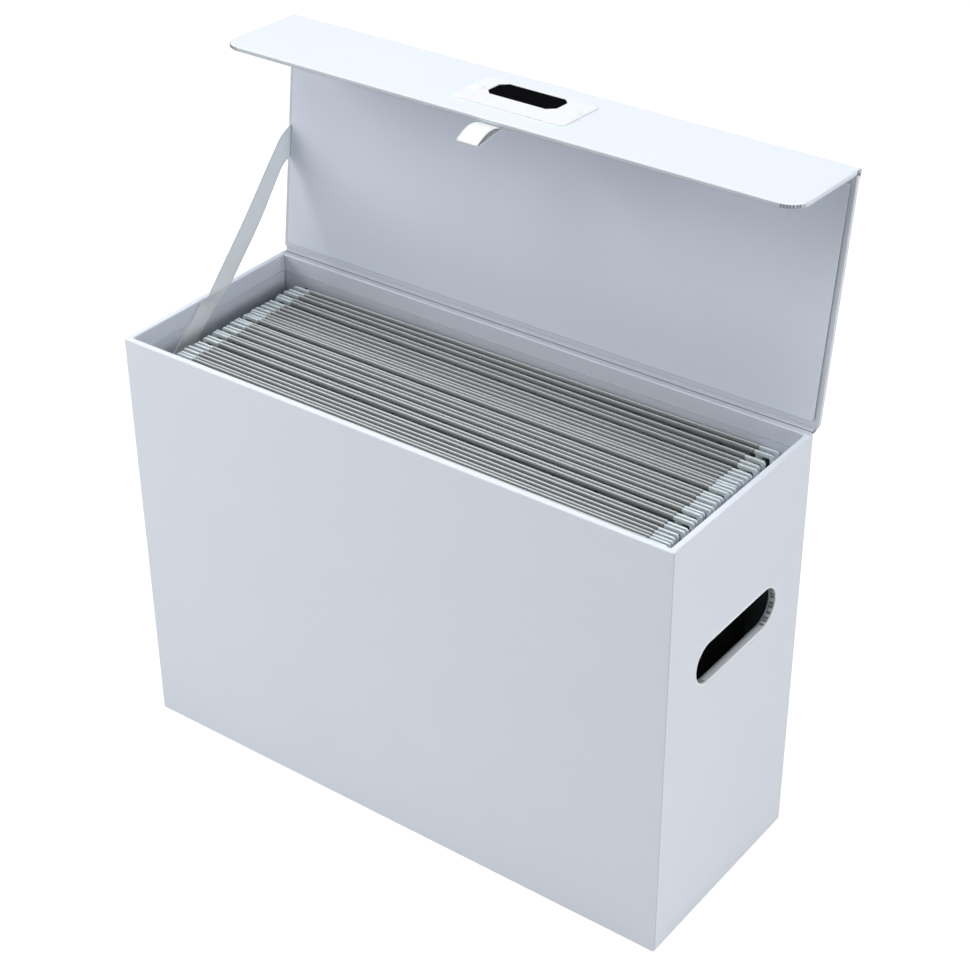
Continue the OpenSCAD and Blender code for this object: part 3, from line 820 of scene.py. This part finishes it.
def pleatPiece(length, width, height):
    # a low ridge of folded paper along X, with its back on Z = 0
    section = [(-width / 2, -0.1 * mm), (-width / 4, height * 0.8), (0, height), (width / 2, -0.1 * mm)]
    return makeObject("pleatPiece", prism(section, sideways, -length / 2, length / 2))


def buildSlotPleats():
    size = {"count": 13, "width": 1.5 * mm, "height": 0.5 * mm, "least": 0.5, "shift": 1.0 * mm,
            "shorter": 1.2 * mm, "turn": 160}
    half = (slotLength - slotHeight) / 2
    paths = []
    for x in (-boxW / 2 + wallT / 2, boxW / 2 - wallT / 2):
        for centre, start in ((half, -80), (-half, 100)):
            bend = arc(centre, slotZ, slotHeight / 2, start, start + size["turn"], 24)
            paths.append([(x, y, z) for y, z in bend])
    piece = pleatPiece(wallT - size["shorter"], size["width"], size["height"])
    # the pleats are drawn in painted shade, dark ridges standing in for the shadow in each fold
    pleats = repeatAlong("slotPleats", paths, piece, pleatPaintedShade, size["count"], (1, 0, 0), size["least"],
                         size["shift"], 4)
    settle(pleats, "box", "cover")


buildSlotPleats()


def buildFlapPleats():
    size = {"count": 7, "width": 1.2 * mm, "height": 0.28 * mm, "least": 0.5, "shift": 0.35 * mm,
            "cornerRadius": 11 * mm, "shorter": 1.3 * mm, "turn": (34, 82)}
    low, high = shutBox("flap_board", flapTurn)
    r = size["cornerRadius"]
    a, b = size["turn"]
    y = (low.y + high.y) / 2
    paths = [[(x, y, z) for x, z in arc(high.x - r, low.z + r, r, -a, -b, 24)],
             [(x, y, z) for x, z in arc(low.x + r, low.z + r, r, b - 180, a - 180, 24)]]
    piece = pleatPiece(high.y - low.y - size["shorter"], size["width"], size["height"])
    # the corner pleats are drawn in painted shade, dark ridges standing in for the shadow in each fold
    pleats = repeatAlong("flapPleats", paths, piece, pleatPaintedShade, size["count"], (0, 1, 0), size["least"],
                         size["shift"], 11)
    settle(turned(pleats, flapTurn), "flap", "cover")


buildFlapPleats()
print("pleats built")


# label holder: plate, blank card and rivets
def buildLabel():
    size = {"edge": 0.35 * mm, "corner": 4 * mm, "cardMargin": 1.5 * mm, "cut": 4 * mm, "cutOver": 10 * mm,
            "rivetRadius": 3.4 * mm, "rivetHeight": 1.0 * mm, "rivetWall": 0.18 * mm, "rivetSunk": 0.05 * mm}
    low, high = shutBox("label_plate", flapTurn)
    cardLow, cardHigh = shutBox("label_card", flapTurn)
    middle = (cardLow + cardHigh) / 2
    outline = roundRect(low.x, low.z, high.x, high.z, [size["corner"]] * 4)
    plate = makeObject("labelPlate", prism(outline, standing, low.y, high.y), platePaint)
    w = (cardHigh.x - cardLow.x) / 2 - size["cardMargin"]
    h = (cardHigh.z - cardLow.z) / 2 - size["cardMargin"]
    c = size["cut"]
    window = [(c - w, -h), (w - c, -h), (w, c - h), (w, h - c)]
    window += [(-u, -v) for u, v in window]
    window = [(middle.x + u, middle.z + v) for u, v in window]
    cutter = makeObject("window", prism(window, standing, low.y - size["cutOver"], high.y + size["cutOver"]))
    roundEdges(plate, size["edge"], 3, 30, [cutter])
    settle(turned(plate, flapTurn), "flap", "label_plate", "label_plate")
    finishNode("label_card", cardPaper)
    # a rivet's head, turned round Z
    rings, around = 8, 32
    r, wall = size["rivetRadius"], size["rivetWall"]
    profile = [(r, -size["rivetSunk"]), (r, wall)]
    for i in range(1, rings):
        t = math.pi / 2 * i / rings
        profile.append((r * math.cos(t), wall + (size["rivetHeight"] - wall) * math.sin(t)))
    turns = [2 * math.pi * k / around for k in range(around)]
    points = [(q * math.cos(t), q * math.sin(t), z) for q, z in profile for t in turns]
    points.append((0, 0, size["rivetHeight"]))
    last = (len(profile) - 1) * around
    faces = wallFaces(len(profile), around)
    faces += [[last + k, last + (k + 1) % around, len(points) - 1] for k in range(around)]
    faces.append(list(range(around)))
    head = makeObject("rivetHead", meshFrom("rivetHead", points, faces))
    rivetLow, rivetHigh = shutBox("label_rivets", flapTurn)
    z = (rivetLow.z + rivetHigh.z) / 2
    ends = [(rivetLow.x + r, low.y, z), (rivetHigh.x - r, low.y, z)]
    rivets = repeatAlong("labelRivets", [ends], head, platePaint, 2, (0, 0, 1))
    settle(turned(rivets, flapTurn), "flap", "label_plate", "label_rivets")


buildLabel()
print("label holder built")


# ribbons carry their own map: X across from 0 to 1, Y along in metres from the start
def ribbonMesh(name, centre, across, width, thickness, material, rows=8):
    points, faces, maps = [], [], []
    lengths = [0.0]
    for a, b in zip(centre, centre[1:]):
        lengths.append(lengths[-1] + (b - a).length)
    for i, p in enumerate(centre):
        a = centre[max(i - 1, 0)]
        b = centre[min(i + 1, len(centre) - 1)]
        normal = (b - a).normalized().cross(across[i]).normalized()
        for side in (1, -1):
            for j in range(rows + 1):
                u = j / rows
                points.append(p + across[i] * (u - 0.5) * width + normal * side * thickness / 2)
                maps.append((u, lengths[i]))
    count = 2 * (rows + 1)
    for i in range(len(centre) - 1):
        for j in range(rows):
            a = i * count + j
            faces.append([a, a + 1, a + count + 1, a + count])
            b = a + rows + 1
            faces.append([b, b + count, b + count + 1, b + 1])
        for j in (0, rows):
            a = i * count + j
            faces.append([a, a + rows + 1, a + rows + 1 + count, a + count])
    for i in (0, len(centre) - 1):
        for j in range(rows):
            a = i * count + j
            faces.append([a, a + 1, a + rows + 2, a + rows + 1])
    mesh = meshFrom(name, points, faces, 0)
    layer = mesh.uv_layers.new(name="ribbon")
    for loop in mesh.loops:
        layer.data[loop.index].uv = maps[loop.vertex_index]
    smoothShade(mesh, 60)
    return makeObject(name, mesh, material), lengths[-1]


def smoothPath(corners, radius, steps=10):
    # a polyline whose corners are rounded by quadratic bends
    points = [corners[0]]
    for a, b, c in zip(corners, corners[1:], corners[2:]):
        p = b + (a - b).normalized() * min(radius, (a - b).length * 0.45)
        q = b + (c - b).normalized() * min(radius, (c - b).length * 0.45)
        for i in range(steps + 1):
            t = i / steps
            points.append(p * (1 - t) ** 2 + b * 2 * t * (1 - t) + q * t ** 2)
    points.append(corners[-1])
    dense = []
    for a, b in zip(points, points[1:]):
        parts = max(1, int((b - a).length / (3 * mm)))
        dense += [a + (b - a) * k / parts for k in range(parts)]
    return dense + [points[-1]]


def buildStay():
    size = {"width": 12.9 * mm, "thickness": 0.35 * mm, "up": 67 * mm, "drop": 30 * mm, "fore": 32 * mm,
            "bendBack": 4.5 * mm, "bendUp": 2.5 * mm, "turn": (7.5 * mm, 3.5 * mm), "turnEnd": 0.62,
            "bow": 0.9 * mm, "lining": 0.5 * mm, "glued": 0.25 * mm, "lidInset": 2.6 * mm,
            "rimLift": 2.4 * mm, "liftOver": 13 * mm, "bend": 4 * mm, "lean": -0.05, "gathered": 0.2,
            "gatherLean": 0.01}
    wallX = -innerW / 2 + size["lining"] + size["glued"]
    lidX = shutBox("lid_board", lidTurn)[0].x + size["lidInset"]
    lidEnd = hingeAt + Vector((0, -size["up"] * math.cos(lidOpen), size["up"] * math.sin(lidOpen)))
    turn = Vector((0, *size["turn"]))
    crease = Vector((0, size["bendBack"], boxH + size["bendUp"]))
    corners = [Vector((0, -size["fore"], boxH - size["drop"])), crease,
               Vector((0, *(lidEnd - turn).yz)), Vector((0, *(lidEnd + turn * size["turnEnd"]).yz))]
    centre = smoothPath(corners, size["bend"])
    run = corners[2] - crease
    d = run.normalized()
    low = (crease - corners[0]).normalized()
    across = []
    for p in centre:
        # glued flat to the wall, lifted over the rim, then straight to the lid's edge; the folds lie along
        # the rim below and upright at the lid, so the ribbon's cross lines turn between them
        along = (p - crease).dot(d)
        above = min(1.0, max(0.0, along / run.length))
        rise = min(1.0, max(0.0, 1 + along / size["liftOver"]))
        rise = rise * rise * (3 - 2 * rise)
        p.x = wallX + size["rimLift"] * rise * (1 - above) + (lidX - wallX) * above
        p.x += size["bow"] * math.sin(math.pi * above) ** 2
        lean = size["lean"] * math.sin(math.pi * above)
        slant = d * (above * d.z / d.y - (1 - above) * d.y / d.z)
        across.append(Vector((0, -low.z, low.y)).lerp(Vector((lean, -d.z, d.y)) + slant, rise))
    stay, length = ribbonMesh("ribbonStay", centre, across, size["width"], size["thickness"], stayRibbon)
    settle(stay, "box", "ribbon", "ribbon_stay")
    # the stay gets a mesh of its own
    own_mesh(stay)
    print("stay ribbon length", round(length, 4))


buildStay()


def buildTab():
    size = {"thickness": 0.35 * mm, "out": 18.6 * mm, "root": 3.7 * mm, "droop": 3.3 * mm, "bulge": 2.4 * mm,
            "bulgeSkew": 0.85, "under": 0.5 * mm, "fold": 0.6 * mm, "pressed": 0.3, "glued": 0.3 * mm,
            "leave": 0.8 * mm, "gluedTo": 1.5 * mm, "backGap": 0.95 * mm, "backGlued": 1.0 * mm}
    low, high = shutBox("pull_tab", flapTurn)
    flapLow, flapHigh = shutBox("flap_board", flapTurn)
    x = (low.x + high.x) / 2
    width = high.x - low.x
    inner, edge = flapHigh.y, flapLow.z
    face = inner + size["glued"]
    root = Vector((face, edge - size["leave"]))
    tip = Vector((inner + size["droop"], edge - size["out"]))
    run = tip - root
    out = Vector((-abs(run.y), -run.x)).normalized()
    # along the outer layer, round the folded end and back along the inner one
    shares = [i / 12 for i in range(13)]
    bulges = [out * size["bulge"] * math.sin(math.pi * f ** size["bulgeSkew"]) for f in shares]
    upper = [Vector((face, edge + size["root"])), Vector((face, edge + size["gluedTo"]))]
    upper += [root + run * f + bulge for f, bulge in zip(shares, bulges)]
    r = size["fold"]
    d = (upper[-1] - upper[-2]).normalized()
    n = -out
    n = (n - d * n.dot(d)).normalized()
    angles = [math.pi * k / 8 for k in range(1, 8)]
    turnOver = [upper[-1] + n * r - n * r * math.cos(a) + d * r * math.sin(a) for a in angles]
    start = upper[-1] + n * 2 * r
    end = root + Vector((size["backGap"], 0))
    back = inner + size["backGlued"]
    lower = [start + (end - start) * f - out * size["under"] * math.sin(math.pi * f) for f in shares]
    lower += [Vector((back, edge + size["gluedTo"])), Vector((back, edge + size["root"]))]
    points = [Vector((x, p.x, p.y)) for p in upper + turnOver + lower]
    across = [Vector((1, 0, 0))] * len(points)
    tab, length = ribbonMesh("pullTab", points, across, width, size["thickness"], tabRibbon)
    settle(turned(tab, flapTurn), "flap", "ribbon", "pull_tab")
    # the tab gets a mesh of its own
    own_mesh(tab)


buildTab()
print("ribbons built")


# hanging folders: one tree draws both hangers of each folder on their centre lines
def buildHangerTree():
    tree, entry, leave = newTree("hangerStrips", [
        ("Hook", "Object"), ("Material", "Material"), ("Strip Height", "Float"),
        ("Strip Thickness", "Float")])
    curve = addNode(tree, "GeometryNodeMeshToCurve")
    level = addNode(tree, "GeometryNodeSetCurveNormal", mode="Z_UP")
    profile = addNode(tree, "GeometryNodeCurvePrimitiveQuadrilateral")
    sweep = addNode(tree, "GeometryNodeCurveToMesh")
    sweep.inputs["Fill Caps"].default_value = True
    hook = addNode(tree, "GeometryNodeObjectInfo", transform_space="ORIGINAL")
    tangent = addNode(tree, "GeometryNodeInputTangent")
    ends = addNode(tree, "GeometryNodeCurveEndpointSelection")
    firstEnd = addNode(tree, "GeometryNodeCurveEndpointSelection")
    firstEnd.inputs["End Size"].default_value = 0
    # 1 at the second end and -1 at the first, so both hooks point outward
    flip = addNode(tree, "ShaderNodeMath", operation="MULTIPLY_ADD")
    flip.inputs[1].default_value = -2
    flip.inputs[2].default_value = 1
    outward = addNode(tree, "ShaderNodeVectorMath", operation="SCALE")
    along = addNode(tree, "FunctionNodeAlignRotationToVector", axis="X", pivot_axis="Z")
    place = addNode(tree, "GeometryNodeInstanceOnPoints")
    join = addNode(tree, "GeometryNodeJoinGeometry")
    wire(tree, (entry, "Geometry", curve, "Mesh"), (curve, "Curve", level, "Curve"),
         (entry, "Strip Thickness", profile, "Width"), (entry, "Strip Height", profile, "Height"),
         (level, "Curve", sweep, "Curve"), (profile, "Curve", sweep, "Profile Curve"),
         (entry, "Hook", hook, "Object"), (firstEnd, 0, flip, 0), (tangent, "Tangent", outward, 0),
         (flip, 0, outward, "Scale"), (outward, 0, along, "Vector"), (level, "Curve", place, "Points"),
         (ends, 0, place, "Selection"), (hook, "Geometry", place, "Instance"),
         (along, "Rotation", place, "Rotation"), (sweep, "Mesh", join, "Geometry"),
         (place, "Instances", join, "Geometry"))
    return endTree(tree, join, "Geometry", entry, leave)


hangerStrips = buildHangerTree()
hangerSize = {"hookHeight": 7 * mm, "stripHeight": 2.4 * mm, "thickness": 0.8 * mm, "coat": 0.5 * mm,
              "reach": 12 * mm, "notchIn": 2.6 * mm, "notchWidth": 4 * mm, "notchHeight": 4.5 * mm,
              "notchRound": 0.6 * mm, "tipCut": 1.6 * mm, "topCut": 1.1 * mm, "edge": 0.3 * mm,
              "stepOut": 1 * mm, "endDepth": 4 * mm}


def hookPiece():
    s = hangerSize
    t = s["thickness"] / 2 + s["coat"] / 2
    reach, low = s["reach"], -s["hookHeight"]
    notchB = reach - s["notchIn"]
    notchA = notchB - s["notchWidth"]
    top = s["coat"] * 0.2
    r, cut = s["notchRound"], s["topCut"]
    outline = [(0, -s["stripHeight"]), (s["stepOut"], -s["stripHeight"]), (s["stepOut"], low), (notchA, low)]
    outline += arc(notchA + r, low + s["notchHeight"] - r, r, 180, 90, 4)
    outline += arc(notchB - r, low + s["notchHeight"] - r, r, 90, 0, 4)
    outline += [(notchB, low), (reach - s["tipCut"], low), (reach, low + s["tipCut"])]
    outline += [(reach, top - cut), (reach - cut, top), (0, top)]
    outline = [(u, v + s["stripHeight"] / 2) for u, v in outline]
    hook = makeObject("hookPiece", prism(outline, standing, -t, t))
    return roundEdges(hook, s["edge"], 2, 30)


hookShape = hookPiece()


def hangerLines(name):
    # the two strips' ends, told apart by their depth at each end of the node
    places = [v.co for v in nodes[name].data.vertices]
    low = min(p.x for p in places)
    high = max(p.x for p in places)
    lines = [[], []]
    for x in (low, high):
        ys = [p.y for p in places if abs(p.x - x) < hangerSize["endDepth"]]
        half = hangerSize["thickness"] / 2
        lines[0].append((x, max(ys) - half))
        lines[1].append((x, min(ys) + half))
    return lines, max(p.z for p in places)


def paperSheets(name, number, rear, front, shift, paperTop, low, material):
    # one folded sheet: up over the front hanger, down its leaf, round the bottom fold and up the rear leaf
    size = {"thickness": 0.32 * mm, "width": 299 * mm, "sleeve": 0.66 * mm, "sleeveEnd": 2.3 * mm,
            "glue": 13 * mm, "glued": 0.24 * mm, "slotPitch": 26 * mm, "slotWidth": 2.6 * mm,
            "slotTop": 2.7 * mm, "slotHeight": 2.6 * mm, "cornerIn": 2.2 * mm, "cell": 12 * mm,
            "bends": (30 * mm, 90 * mm), "foot": (0.3 * mm, 5 * mm), "fold": (0.25 * mm, 0.5 * mm),
            "sway": 0.16 * mm, "waves": 9, "waveStep": 3.7}
    rTop = size["sleeve"]
    half = size["width"] / 2
    centreTop = paperTop - rTop - size["thickness"] / 2
    slotEnd = size["slotTop"] + size["slotHeight"]
    marks = [size["sleeveEnd"], size["slotTop"], slotEnd, size["glue"]]
    slots = [k * size["slotPitch"] for k in range(-5, 6)]
    edges = [-half, -half + size["cornerIn"]]
    for s in slots:
        edges += [s - size["slotWidth"] / 2, s + size["slotWidth"] / 2]
    edges += [half - size["cornerIn"], half]
    xs = []
    for a, b in zip(edges, edges[1:]):
        parts = max(1, round((b - a) / size["cell"]))
        xs += [a + (b - a) * k / parts for k in range(parts)]
    xs.append(edges[-1])

    def yAt(line, x):
        (xa, ya), (xb, yb) = line
        return ya + (yb - ya) * (x + shift - xa) / (xb - xa)

    def away(h):
        return size["glued"] if h > size["sleeveEnd"] else rTop

    def section(x):
        wave = size["sway"] * noise.noise(Vector((x * size["waves"], number * size["waveStep"], 0)))
        yFront, yRear = yAt(front, x) + wave, yAt(rear, x) + wave
        middle = (yFront + yRear) / 2
        leaves = []
        for side, y in ((1, yFront), (-1, yRear)):
            # glued end on the pocket's side, then over the hanger, then down the outer face
            leaf = [(y + side * away(h), paperTop - h) for h in reversed(marks)]
            for a in [math.pi * i / 8 for i in range(1, 8)]:
                leaf.append((y + side * rTop * math.cos(a), centreTop + rTop * math.sin(a)))
            for h in (*marks, *size["bends"]):
                share = max(0.0, (h - size["glue"]) / (paperTop - low - size["glue"]))
                toward = y + (middle - side * size["fold"][0] - y) * share
                leaf.append((toward - side * away(h), paperTop - h))
            leaf += [(middle - side * out, low + up) for out, up in (size["foot"], size["fold"])]
            leaves.append(leaf)
        return leaves[0] + leaves[1][::-1]

    sections = [section(x) for x in xs]
    count = len(sections[0])
    points, faces = [], []
    for x, path in zip(xs, sections):
        for side in (1, -1):
            for i, p in enumerate(path):
                a, b = Vector(path[max(i - 1, 0)]), Vector(path[min(i + 1, count - 1)])
                d = (b - a).normalized() * side * size["thickness"] / 2
                points.append((x + shift, p[0] - d.y, p[1] + d.x))

    def holed(i, j):
        # cell i along the sheet's width and j along its path
        x = (xs[i] + xs[i + 1]) / 2
        down = paperTop - (sections[i][j][1] + sections[i][j + 1][1]) / 2
        if any(abs(x - s) < size["slotWidth"] / 2 for s in slots) and size["slotTop"] < down < slotEnd:
            return True
        return abs(x) > half - size["cornerIn"] and size["slotTop"] < down < size["glue"]

    row = 2 * count
    for i in range(len(xs) - 1):
        for j in range(count - 1):
            if holed(i, j):
                continue
            a, b = i * row + j, (i + 1) * row + j
            c, e = a + count, b + count
            faces += [[a, a + 1, b + 1, b], [c, e, e + 1, c + 1]]
            if i == 0 or holed(i - 1, j):
                faces.append([a, c, c + 1, a + 1])
            if i == len(xs) - 2 or holed(i + 1, j):
                faces.append([b, b + 1, e + 1, e])
            if j == 0 or holed(i, j - 1):
                faces.append([a, b, e, c])
            if j == count - 2 or holed(i, j + 1):
                faces.append([a + 1, c + 1, e + 1, b + 1])
    mesh = meshFrom(name, points, faces, 0)
    smoothShade(mesh, 50)
    return makeObject(name, mesh, material)


def buildFile(number):
    tag = f"{number:02d}"
    hangerNode, folderNode = "hangers_" + tag, "folder_" + tag
    (rear, front), hangerTop = hangerLines(hangerNode)
    folderLow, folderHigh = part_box(folderNode)
    shift = (folderLow.x + folderHigh.x) / 2
    base = bpy.data.meshes.new("lines")
    s = hangerSize
    z = hangerTop - s["stripHeight"] / 2
    points = []
    for line in (rear, front):
        for (x, y), sign in zip(line, (1, -1)):
            points.append((x + sign * s["reach"], y, z))
    base.from_pydata(points, [(0, 1), (2, 3)], [])
    hangers = makeObject("hangerPair" + tag, base)
    modifier = hangers.modifiers.new("strips", "NODES")
    modifier.node_group = hangerStrips
    setInputs(modifier, {"Hook": hookShape, "Material": hangerCoat, "Strip Height": s["stripHeight"],
                         "Strip Thickness": s["thickness"]})
    applyModifiers(hangers)
    smoothShade(hangers.data, 35)
    settle(hangers, "file_" + tag, "hanger_steel", hangerNode)
    sheet = paperSheets("folderSheet" + tag, number, rear, front, shift, folderHigh.z, folderLow.z,
                        folderPaintedShading)
    settle(sheet, "file_" + tag, "folder_paper", folderNode)


fileCount = sum(name.startswith("folder_") for name in nodes)
for number in range(1, fileCount + 1):
    buildFile(number)
bpy.data.objects.remove(hookShape)
print("files built:", fileCount)


# plain pale floor, soft light
def buildStage():
    size = {"floor": 8.0, "below": 0.2 * mm, "tone": 0.6, "roughness": 0.8, "specular": 0.1, "glow": 0.64}
    half = size["floor"] / 2
    corners = [(-half, -half, 0), (half, -half, 0), (half, half, 0), (-half, half, 0)]
    material, tree, shader = newMaterial("floorPaint")
    shader.inputs["Base Color"].default_value = (size["tone"], size["tone"], size["tone"], 1)
    shader.inputs["Roughness"].default_value = size["roughness"]
    shader.inputs["Specular IOR Level"].default_value = size["specular"]
    rays = addNode(tree, "ShaderNodeLightPath")
    glow = addNode(tree, "ShaderNodeEmission")
    seen = mathNode(tree, "MAXIMUM", rays.outputs["Is Camera Ray"], rays.outputs["Is Glossy Ray"])
    feed(tree, mathNode(tree, "MULTIPLY", seen, size["glow"]), glow.inputs["Strength"])
    both = addNode(tree, "ShaderNodeAddShader")
    wire(tree, (shader, 0, both, 0), (glow, 0, both, 1), (both, 0, tree.nodes["Material Output"], "Surface"))
    floor = makeObject("floor", meshFrom("floor", corners, [[0, 1, 2, 3]]), material)
    floor.location.z = -size["below"]


def addLamp(name, place, aim, size, power):
    light = bpy.data.lights.new(name, "AREA")
    light.shape = "DISK"
    light.size = size
    light.energy = power
    lamp = bpy.data.objects.new(name, light)
    bpy.context.scene.collection.objects.link(lamp)
    lamp.location = place
    lamp.rotation_mode = "QUATERNION"
    lamp.rotation_quaternion = (Vector(aim) - Vector(place)).to_track_quat("-Z", "Y")


def buildLight():
    # each lamp's place, size and power; all of them look at the same point
    lamps = {"overhead": ((0.2, 0.3, 2.4), 1.6, 35), "rightLow": ((2.2, -0.3, 0.6), 1.0, 20.5),
             "leftSide": ((-2.4, -1.2, 1.2), 2.2, 42), "frontTop": ((-0.3, -1.0, 1.6), 0.8, 5.5),
             "frontLeft": ((-1.0, -1.3, 1.0), 0.8, 4.5)}
    aim = (0, 0, 0.2)
    sky = {"tone": (0.95, 0.97, 1.0, 1), "strength": 0.03}
    world = bpy.data.worlds.new("studio")
    bpy.context.scene.world = world
    world.use_nodes = True
    tree = world.node_tree
    tree.nodes.clear()
    rays = addNode(tree, "ShaderNodeLightPath").outputs
    soft = addNode(tree, "ShaderNodeBackground", Color=sky["tone"], Strength=sky["strength"])
    white = addNode(tree, "ShaderNodeBackground", Color=(1, 1, 1, 1), Strength=1.0)
    mix = addNode(tree, "ShaderNodeMixShader")
    out = addNode(tree, "ShaderNodeOutputWorld")
    # the camera and reflections see white, and everything else is lit by the soft sky
    mirrored = mathNode(tree, "MAXIMUM", rays["Is Glossy Ray"], rays["Is Transmission Ray"])
    feed(tree, mathNode(tree, "MAXIMUM", rays["Is Camera Ray"], mirrored), mix.inputs[0])
    wire(tree, (soft, 0, mix, 1), (white, 0, mix, 2), (mix, 0, out, 0))
    for name, (place, size, power) in lamps.items():
        addLamp(name, place, aim, size, power)


buildStage()
buildLight()
bpy.context.scene.view_settings.view_transform = "Standard"
print("stage and light built")
